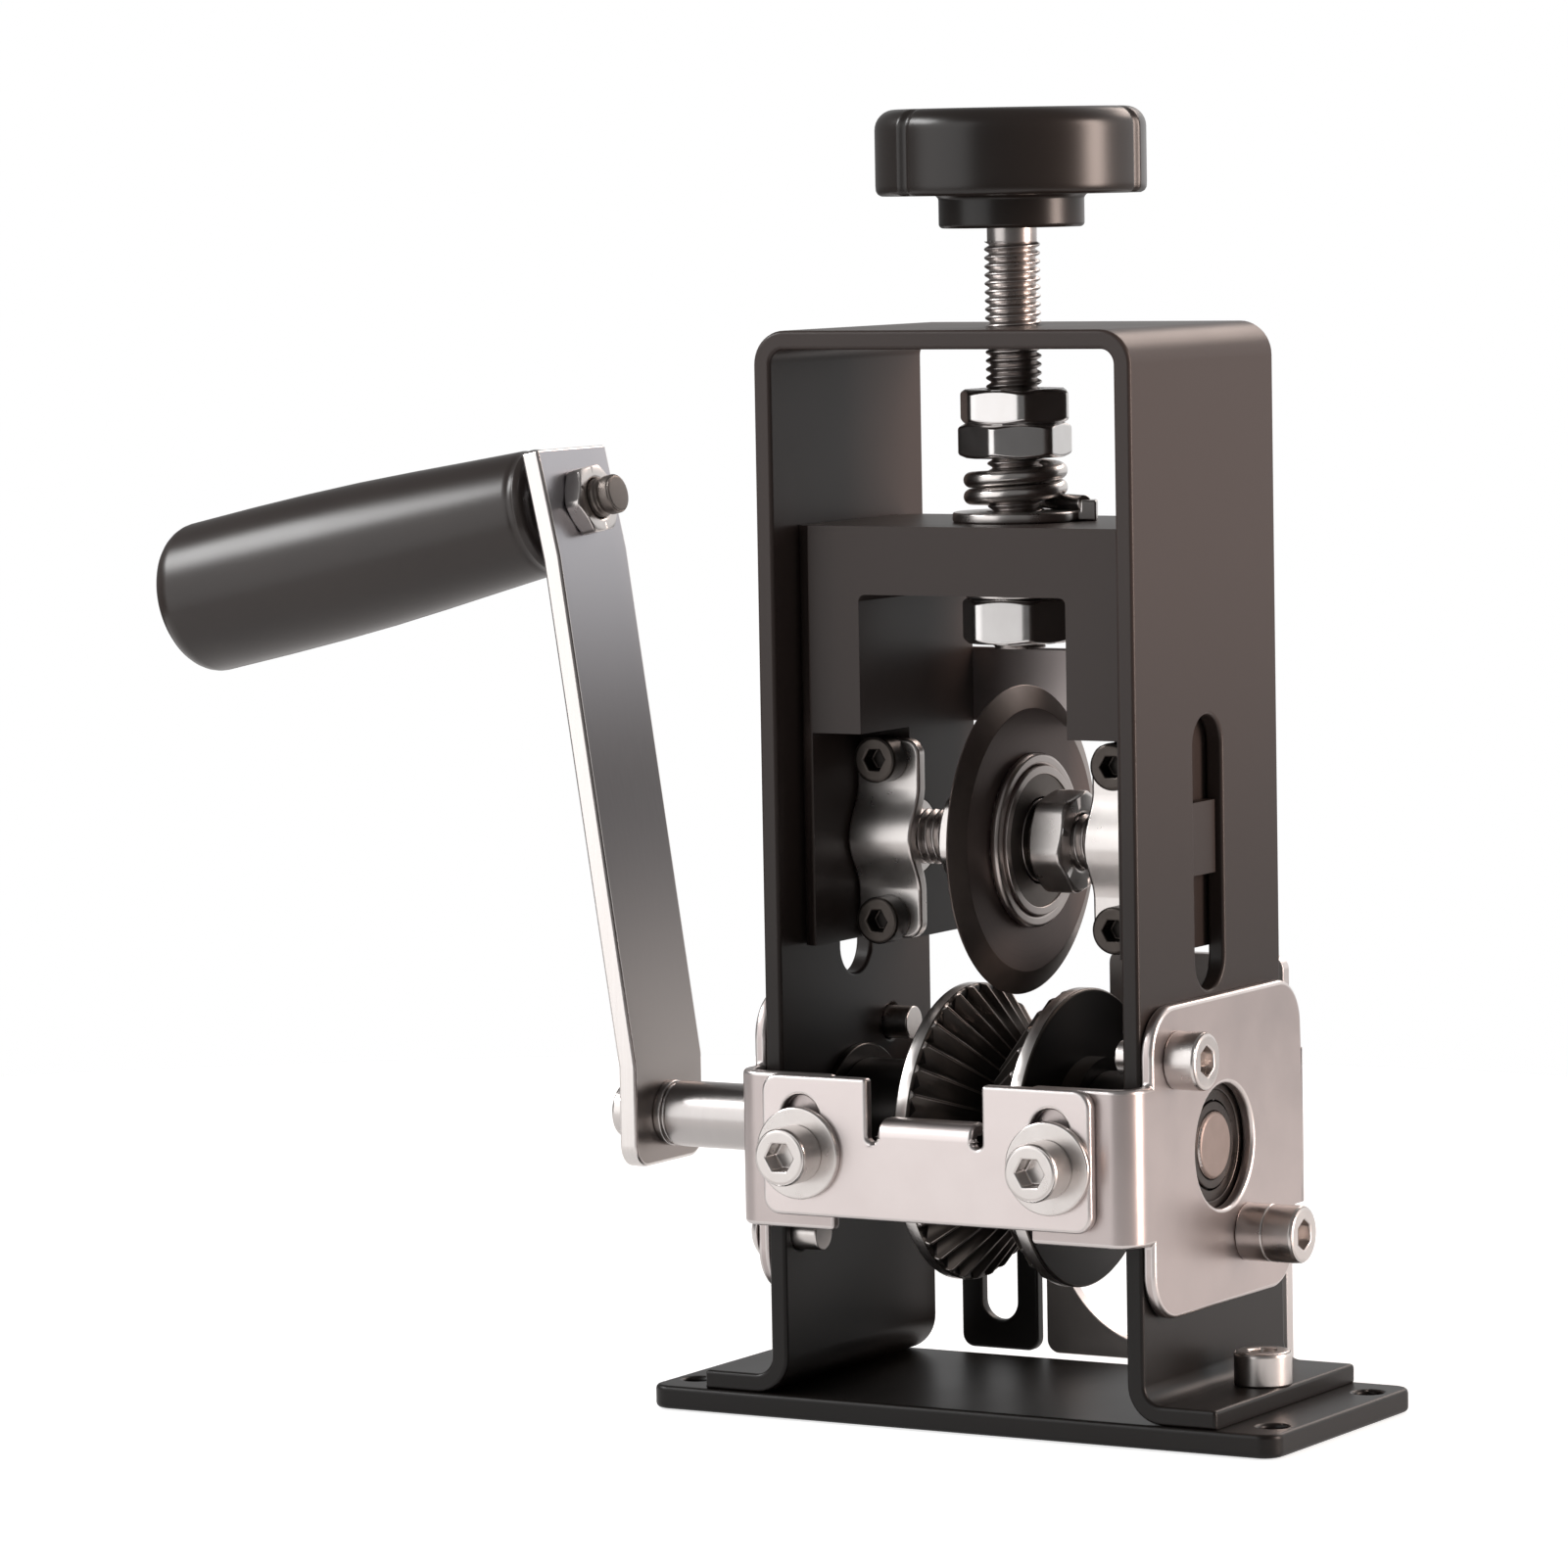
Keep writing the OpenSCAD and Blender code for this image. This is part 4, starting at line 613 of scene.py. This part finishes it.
# The side's points: the boss, bead and hollow of the neck, the swell, and the end's mouth.
neck = [(GRIP_BORE_R, 0.0), (5.9, 0.0), (5.9, 0.6), (8.4, 0.6), (9.2, 1.0), (9.55, 1.9),
    (9.35, 2.6), (9.45, 3.1), (9.72, 3.8)]
swell = [(10.3, 14.0), (10.9, 24.0), (11.4, 34.0), (11.68, 44.0), (GRIP_R, 54.0)]
mouth = [(GRIP_BORE_R + 0.3, GRIP_LEN), (GRIP_BORE_R, GRIP_LEN - 0.3)]
grip_side = neck + swell + round_over(GRIP_R, GRIP_LEN, GRIP_END_R) + mouth
settle(turn([(radius, length + GRIP_Z) for radius, length in grip_side], on_handle, 128),
    "turned_grip", ["handle_grip"], "grip", [grip_nylon], 0.12)

# Carrier: a machined steel block between the legs, sprayed with the same powder as the
# frame. Its lugs slide in the legs' slots.
soften("carrier", "sliding_carrier", "slider", [powder_coat], 0.7,
    long_edges=3.0)

# Cap screws: black oxide steel, a warm black with a faint sheen that drifts in clouds of
# 1.5 mm. They hold the two axle caps on the carrier's front, and the front faces of their
# heads are a lighter grey.
HEAD_FACE_Y = -8.5
black_oxide = mottled_metal("black_oxide_steel", "#262220", "#332f2c", 700.0, 0.30, 0.42,
    metallic=0.8, detail=2.0)
pale_face_oxide = mottled_metal("pale_face_black_oxide", "#3b3633", "#4e4844", 600.0, 0.34, metallic=0.9)


def head_zone(face):
    """1 for the front face of a screw's head, 0 for the rest."""
    fronted = face.normal.y < -0.9 and face.calc_center_median().y * 1000 < HEAD_FACE_Y
    return 1 if fronted else 0


soften("cap_screws", "axle_cap_screws", "slider", [black_oxide, pale_face_oxide],
    0.3, part_of=head_zone, edge_material=1)

# Axle caps: short steel straps pressed to a wave over the axle's collars, with round
# corners and a satin zinc face.
BLADE_Z = 84.6
CAP_X = 19.7
CAP_W = 10.6
CAP_H = 29.6
CAP_T = 2.2
CAP_CORNER = 2.4
SADDLE_Y = -2.6
ARCH_HALF = 8.1
CAP_BULGE = 3.0
WAVE_CUTS = 36
for side, name in ((-1, "left"), (1, "right")):
    shape = bmesh.new()
    bmesh.ops.create_grid(shape, x_segments=1, y_segments=1, size=0.5)
    bmesh.ops.scale(shape, vec=(CAP_W / 1000, CAP_H / 1000, 1.0), verts=shape.verts)
    bmesh.ops.bevel(shape, geom=shape.verts[:], offset=CAP_CORNER / 1000,
        offset_type="OFFSET", segments=6, profile=0.5, affect="VERTICES", material=-1)
    for k in range(1, WAVE_CUTS):
        bmesh.ops.bisect_plane(shape, geom=shape.verts[:] + shape.edges[:] + shape.faces[:],
            plane_co=(0, (2 * k / WAVE_CUTS - 1) * ARCH_HALF / 1000, 0), plane_no=(0, 1, 0))
    bmesh.ops.rotate(shape, cent=(0, 0, 0), matrix=Matrix.Rotation(math.radians(90), 3, "X"),
        verts=shape.verts)
    for vert in shape.verts:
        reach = min(abs(vert.co.z) * 1000 / ARCH_HALF, 1.0)
        vert.co.y = (SADDLE_Y - CAP_BULGE * math.cos(reach * math.pi / 2) ** 2) / 1000
    bmesh.ops.recalc_face_normals(shape, faces=shape.faces)
    if sum(face.normal.y for face in shape.faces) > 0:
        bmesh.ops.reverse_faces(shape, faces=shape.faces)
    bmesh.ops.solidify(shape, geom=shape.faces[:], thickness=CAP_T / 1000)
    front = (SADDLE_Y - CAP_BULGE - CAP_T) / 1000 - min(vert.co.y for vert in shape.verts)
    bmesh.ops.translate(shape, verts=shape.verts,
        vec=(side * CAP_X / 1000, front, BLADE_Z / 1000))
    bmesh.ops.recalc_face_normals(shape, faces=shape.faces)
    settle(shape, name + "_arched_cap", [name + "_axle_cap"], "slider",
        [satin_zinc], 0.5)

# Blade axle: a steel bar threaded from end to end, held by a nut, a thin spacer and a collar
# on each side of the blade.
CUT_X = 0.2
AXLE_HALF = 25.0
AXLE_NUT_X = 4.8


def cut_thread(low, high, lie, crest=4.1, root=3.38, pitch=1.25, around=24):
    """A rolled metric thread along its axis from low to high, closed by flat ends."""
    shape = bmesh.new()
    flank_foot = root + 0.05
    flank_top = crest - 0.12
    tooth = ((root, 0.0), (flank_foot, 0.10), (flank_top, 0.36), (crest, 0.48),
        (crest, 0.58), (flank_top, 0.70), (flank_foot, 0.96), (root, 1.0))
    corners = [shape.verts.new((radius / 1000, 0.0, (low + (share - 1.5) * pitch) / 1000))
        for radius, share in tooth]
    for first, second in zip(corners, corners[1:]):
        shape.edges.new((first, second))
    turns = math.ceil((high - low) / pitch) + 3
    bmesh.ops.spin(shape, geom=shape.verts[:] + shape.edges[:], cent=(0, 0, 0), axis=(0, 0, 1),
        dvec=(0, 0, pitch / 1000 / around), angle=2 * math.pi * turns, steps=around * turns,
        use_merge=False)
    bmesh.ops.remove_doubles(shape, verts=shape.verts, dist=1e-5)
    for stop, outward in ((low, -1), (high, 1)):
        cut = bmesh.ops.bisect_plane(shape,
            geom=shape.verts[:] + shape.edges[:] + shape.faces[:],
            plane_co=(0, 0, stop / 1000), plane_no=(0, 0, outward), clear_outer=True)
        rim = [part for part in cut["geom_cut"] if isinstance(part, bmesh.types.BMEdge)]
        bmesh.ops.holes_fill(shape, edges=rim, sides=0)
    bmesh.ops.recalc_face_normals(shape, faces=shape.faces)
    bmesh.ops.transform(shape, matrix=lie, verts=shape.verts)
    return shape


def join(shapes):
    """One shape from several."""
    whole = bmesh.new()
    for shape in shapes:
        loose = bpy.data.meshes.new("loose_shape")
        shape.to_mesh(loose)
        shape.free()
        whole.from_mesh(loose)
        bpy.data.meshes.remove(loose)
    return whole


def along_x(x, z, way=1):
    """Lays a turned shape along the machine's X axis, pointing right or, with -1, left."""
    return (Matrix.Translation((x / 1000, 0.0, z / 1000))
        @ Matrix.Rotation(math.radians(90 * way), 4, "Y"))


# Rolled thread: bare steel with a film of oil, bright on its crests, in clouds of 4 mm.
thread_steel = mottled_metal("rolled_thread_steel", "#b4adaa", "#cac4c1", 260.0, 0.24, 0.34)
settle(cut_thread(-AXLE_HALF, AXLE_HALF, along_x(0.0, BLADE_Z)), "threaded_blade_axle",
    ["blade_axle"], "slider", [thread_steel])
nuts = [shape_nut(across_flats=14.0, height=5.5, bore=8.1, twist=-17.0 * way,
    lie=along_x(CUT_X + way * AXLE_NUT_X, BLADE_Z, way), corner=0.2) for way in (1, -1)]
settle(join(nuts), "axle_hex_nuts", ["axle_nuts"], "slider", [satin_zinc], 0.3)
soften("axle_collars", "axle_end_collars", "slider", [satin_zinc], 0.2)
soften("axle_spacers", "axle_thin_spacers", "slider", [oiled_bearing_steel], 0.1)

# Blade: a disc of tool steel with both sides of its edge ground to a bevel. Hardening
# leaves it a dull brown, with turning marks round it that are drawn 0.3 mm apart, coarser
# than they are, so that they show.
BLADE_R = 22.75
BLADE_FACE_R = 19.35
BLADE_BORE_R = 12.05
BLADE_HALF = 1.5
EDGE_HALF = 0.1
hardened_blade, tree, surface, here = start_material("hardened_blade_steel", 0.85, 0.42)
centre = add_node(tree, "ShaderNodeMapping",
    {"Location": (0.0, 0.0, -BLADE_Z / 1000), "Scale": (0.0, 1.0, 1.0)}, {"Vector": here})
away = add_node(tree, "ShaderNodeVectorMath", links={0: centre.outputs[0]}, operation="LENGTH")
rings = add_node(tree, "ShaderNodeTexNoise", {"Scale": 3200.0, "Detail": 3.0},
    {"W": away.outputs["Value"]}, noise_dimensions="1D")
tint = add_node(tree, "ShaderNodeMix", {"A": to_linear("#5c514e"), "B": to_linear("#6a5e5a")},
    {"Factor": rings.outputs["Fac"]}, data_type="RGBA")
sheen = add_node(tree, "ShaderNodeMapRange", {"To Min": 0.36, "To Max": 0.46},
    {"Value": rings.outputs["Fac"]})
bump = add_node(tree, "ShaderNodeBump", {"Strength": 0.05, "Distance": 0.00002},
    {"Height": rings.outputs["Fac"]})
link_surface(tree, surface, tint, sheen, bump)
# The ground bevel is bare steel and a shade lighter, in clouds of 3 mm.
ground_bevel = mottled_metal("ground_bevel_steel", "#7a706b", "#8b817c", 300.0, 0.4)
shape = turn([(BLADE_BORE_R, -BLADE_HALF), (BLADE_FACE_R, -BLADE_HALF), (BLADE_R, -EDGE_HALF),
    (BLADE_R, EDGE_HALF), (BLADE_FACE_R, BLADE_HALF), (BLADE_BORE_R, BLADE_HALF)],
    along_x(CUT_X, BLADE_Z), 160)
for face in shape.faces:
    face.material_index = 0 if abs(face.normal.x) > 0.99 or abs(face.normal.x) < 0.2 else 1
settle(shape, "round_slitting_blade", ["blade"], "cutter",
    [hardened_blade, ground_bevel], 0.1, 2, sharp=math.radians(15))

# Blade hub and bearing: a flanged sleeve and a ring clamp the blade round its ball bearing.
# They are turned steel that shines darkly, in clouds of 3 mm, with well rounded flanges.
HUB_BORE_R = 11.0
HUB_R = 12.0
FLANGE_R = 12.9
HUB_HALF = 3.0
turned_hub = mottled_metal("dark_turned_steel", "#b5aca8", "#c3bab6", 300.0, 0.26, 0.36)
settle(turn([(HUB_BORE_R, -HUB_HALF), (HUB_R, -HUB_HALF), (HUB_R, BLADE_HALF),
    (FLANGE_R, BLADE_HALF), (FLANGE_R, HUB_HALF), (HUB_BORE_R, HUB_HALF)],
    along_x(CUT_X, BLADE_Z)),
    "flanged_blade_hub", ["blade_hub"], "cutter", [turned_hub], 0.6, 5)
settle(turn([(BLADE_BORE_R, -HUB_HALF), (FLANGE_R, -HUB_HALF), (FLANGE_R, -BLADE_HALF),
    (BLADE_BORE_R, -BLADE_HALF)], along_x(CUT_X, BLADE_Z)),
    "blade_clamp_ring", ["blade_retainer"], "cutter", [turned_hub], 0.4, 4)
for node, name, body, material, edge, segments in (
    ("blade_bearing_outer", "blade_bearing_outer_ring", "cutter", turned_hub, 0.15, 2),
    ("blade_bearing_shields", "blade_bearing_shield_rings", "cutter", dark_stud, 0.05, 3),
    ("blade_bearing_inner", "blade_bearing_inner_ring", "slider", turned_hub, 0.15, 2),
):
    soften(node, name, body, [material], edge, segments)

# Adjusting screw: a steel bar with a rolled thread and a plain neck that is moulded into
# the knob. Two jam nuts press on the spring and one nut below hangs the carrier on it.
SCREW_LOW = 112.9
SCREW_TOP = 186.0
THREAD_TOP = 172.3
PLAIN_R = 3.65
NUT_SIZE = 15.0
JAM_NUT_H = 5.0
JAM_NUTS_Z = 140.8
CARRIER_NUT_H = 6.6
CARRIER_NUT_Z = 113.7
rolled = cut_thread(SCREW_LOW, THREAD_TOP, raised(0.0))
plain = turn([(0, THREAD_TOP - 0.1), (PLAIN_R, THREAD_TOP - 0.1), (PLAIN_R, SCREW_TOP),
    (0, SCREW_TOP)], raised(0.0), 48)
settle(join([rolled, plain]), "threaded_adjusting_screw", ["adjusting_screw"], "adjuster",
    [thread_steel])
nuts = [shape_nut(NUT_SIZE, JAM_NUT_H, bore=8.1, twist=twist, lie=raised(height))
    for twist, height in ((36.0, JAM_NUTS_Z), (7.4, JAM_NUTS_Z + JAM_NUT_H))]
settle(join(nuts), "paired_jam_nuts", ["jam_nuts"], "adjuster",
    [polished_zinc], 0.35)
settle(shape_nut(NUT_SIZE, CARRIER_NUT_H, bore=8.1, twist=10.6, lie=raised(CARRIER_NUT_Z)),
    "carrier_retaining_nut", ["retaining_nut"], "adjuster", [polished_zinc],
    0.35)

# Spring and its seat: thick round steel wire wound in two turns and a bit, whose lower end
# runs out straight to the tongue of the washer below it.
SPRING_R = 6.45
WIRE_R = 1.2
SPRING_LOW = 132.9
SPRING_RISE = 5.4
SPRING_START = math.radians(62)
SPRING_TURNS = 2.2
STEPS_A_TURN = 96
TAIL_LEN = 6.2
TAIL_FALL = 0.2
TAIL_TURN = math.radians(-12)
# Drawn and zinc plated wire: bright, and smoother than the screws, in clouds of 4 mm.
spring_wire = mottled_metal("drawn_spring_wire", "#c4bebb", "#d6d1ce", 240.0, 0.21, 0.28)
shape = bmesh.new()
section = bmesh.ops.create_circle(shape, cap_ends=True, segments=20, radius=WIRE_R / 1000)
stand_up = (Matrix.Translation((0.0, 0.0, (SPRING_LOW + WIRE_R) / 1000))
    @ Matrix.Rotation(SPRING_START, 4, "Z") @ Matrix.Translation((SPRING_R / 1000, 0.0, 0.0))
    @ Matrix.Rotation(math.radians(90), 4, "X"))
bmesh.ops.transform(shape, matrix=stand_up, verts=section["verts"])
end = shape.faces[:]
tail = bmesh.ops.extrude_face_region(shape, geom=end, use_keep_orig=True)
tail_verts = [part for part in tail["geom"] if isinstance(part, bmesh.types.BMVert)]
bmesh.ops.translate(shape, verts=tail_verts, vec=(
    TAIL_LEN / 1000 * math.cos(TAIL_TURN),
    TAIL_LEN / 1000 * math.sin(TAIL_TURN),
    -TAIL_FALL / 1000,
))
rim = end[0].verts[:] + end[0].edges[:]
bmesh.ops.delete(shape, geom=end, context="FACES_ONLY")
spun = bmesh.ops.spin(shape, geom=rim, cent=(0, 0, 0), axis=(0, 0, 1),
    dvec=(0, 0, SPRING_RISE / 1000 / (STEPS_A_TURN * SPRING_TURNS)),
    angle=2 * math.pi * SPRING_TURNS, steps=int(STEPS_A_TURN * SPRING_TURNS), use_merge=False)
last = [part for part in spun["geom_last"] if isinstance(part, bmesh.types.BMEdge)]
bmesh.ops.holes_fill(shape, edges=last, sides=0)
bmesh.ops.remove_doubles(shape, verts=shape.verts, dist=1e-6)
bmesh.ops.recalc_face_normals(shape, faces=shape.faces)
settle(shape, "coil_spring", ["spring"], "slider", [spring_wire], 0.2, 2)
soften("spring_seat", "tongued_seat_washer", "slider", [satin_zinc], 0.35)
soften("thrust_washer", "carrier_thrust_washer", "slider", [satin_zinc], 0.2)

# Knob: moulded in black nylon round the screw's neck, a wheel on a short hub. Three narrow
# grooves part the wheel into lobes and run out over its rounded top edge.
KNOB_Z = 174.3
KNOB_R = 19.8
KNOB_TOP = 17.4
KNOB_EDGE_R = 3.0
KNOB_BORE_R = 3.9
KNOB_HUB = 4.8
GROOVE_TURN = 6.6
GROOVE_HALF = 1.4
GROOVE_DEPTH = 0.8
GROOVE_START_R = 12.5
hub = [(KNOB_BORE_R, 0.0), (10.25, 0.0), (10.65, 0.4), (10.65, KNOB_HUB - 0.5)]
under = [(11.1, KNOB_HUB), (15.0, KNOB_HUB), (18.9, KNOB_HUB), (19.45, KNOB_HUB + 0.25),
    (19.75, KNOB_HUB + 0.8)]
# A ring of points at each millimetre of the wall lets the grooves run down it.
wall = [(KNOB_R, KNOB_HUB + 1.6 + 1.0 * k) for k in range(8)]
top = [(14.5, KNOB_TOP), (12.0, KNOB_TOP), (6.0, KNOB_TOP), (KNOB_BORE_R, KNOB_TOP - 0.4)]
shape = turn(hub + under + wall + round_over(KNOB_R, KNOB_TOP, KNOB_EDGE_R) + top,
    raised(KNOB_Z), 540)
# Each groove has soft sides, and is shallower towards the middle of the top.
for vert in shape.verts:
    radius = vert.co.xy.length * 1000
    if radius > GROOVE_START_R:
        angle = math.degrees(math.atan2(vert.co.y, vert.co.x)) - GROOVE_TURN
        off = abs((angle + 60) % 120 - 60)
        arc = math.radians(off) * KNOB_R
        if arc < GROOVE_HALF:
            across = math.cos(arc / GROOVE_HALF * math.pi / 2) ** 1.5
            inward = ((radius - GROOVE_START_R) / (KNOB_R - GROOVE_START_R)) ** 0.7
            vert.co.xy *= (radius - GROOVE_DEPTH * across * inward) / radius
settle(shape, "lobed_knob", ["knob"], "adjuster", [moulded_black], 0.2, 2)
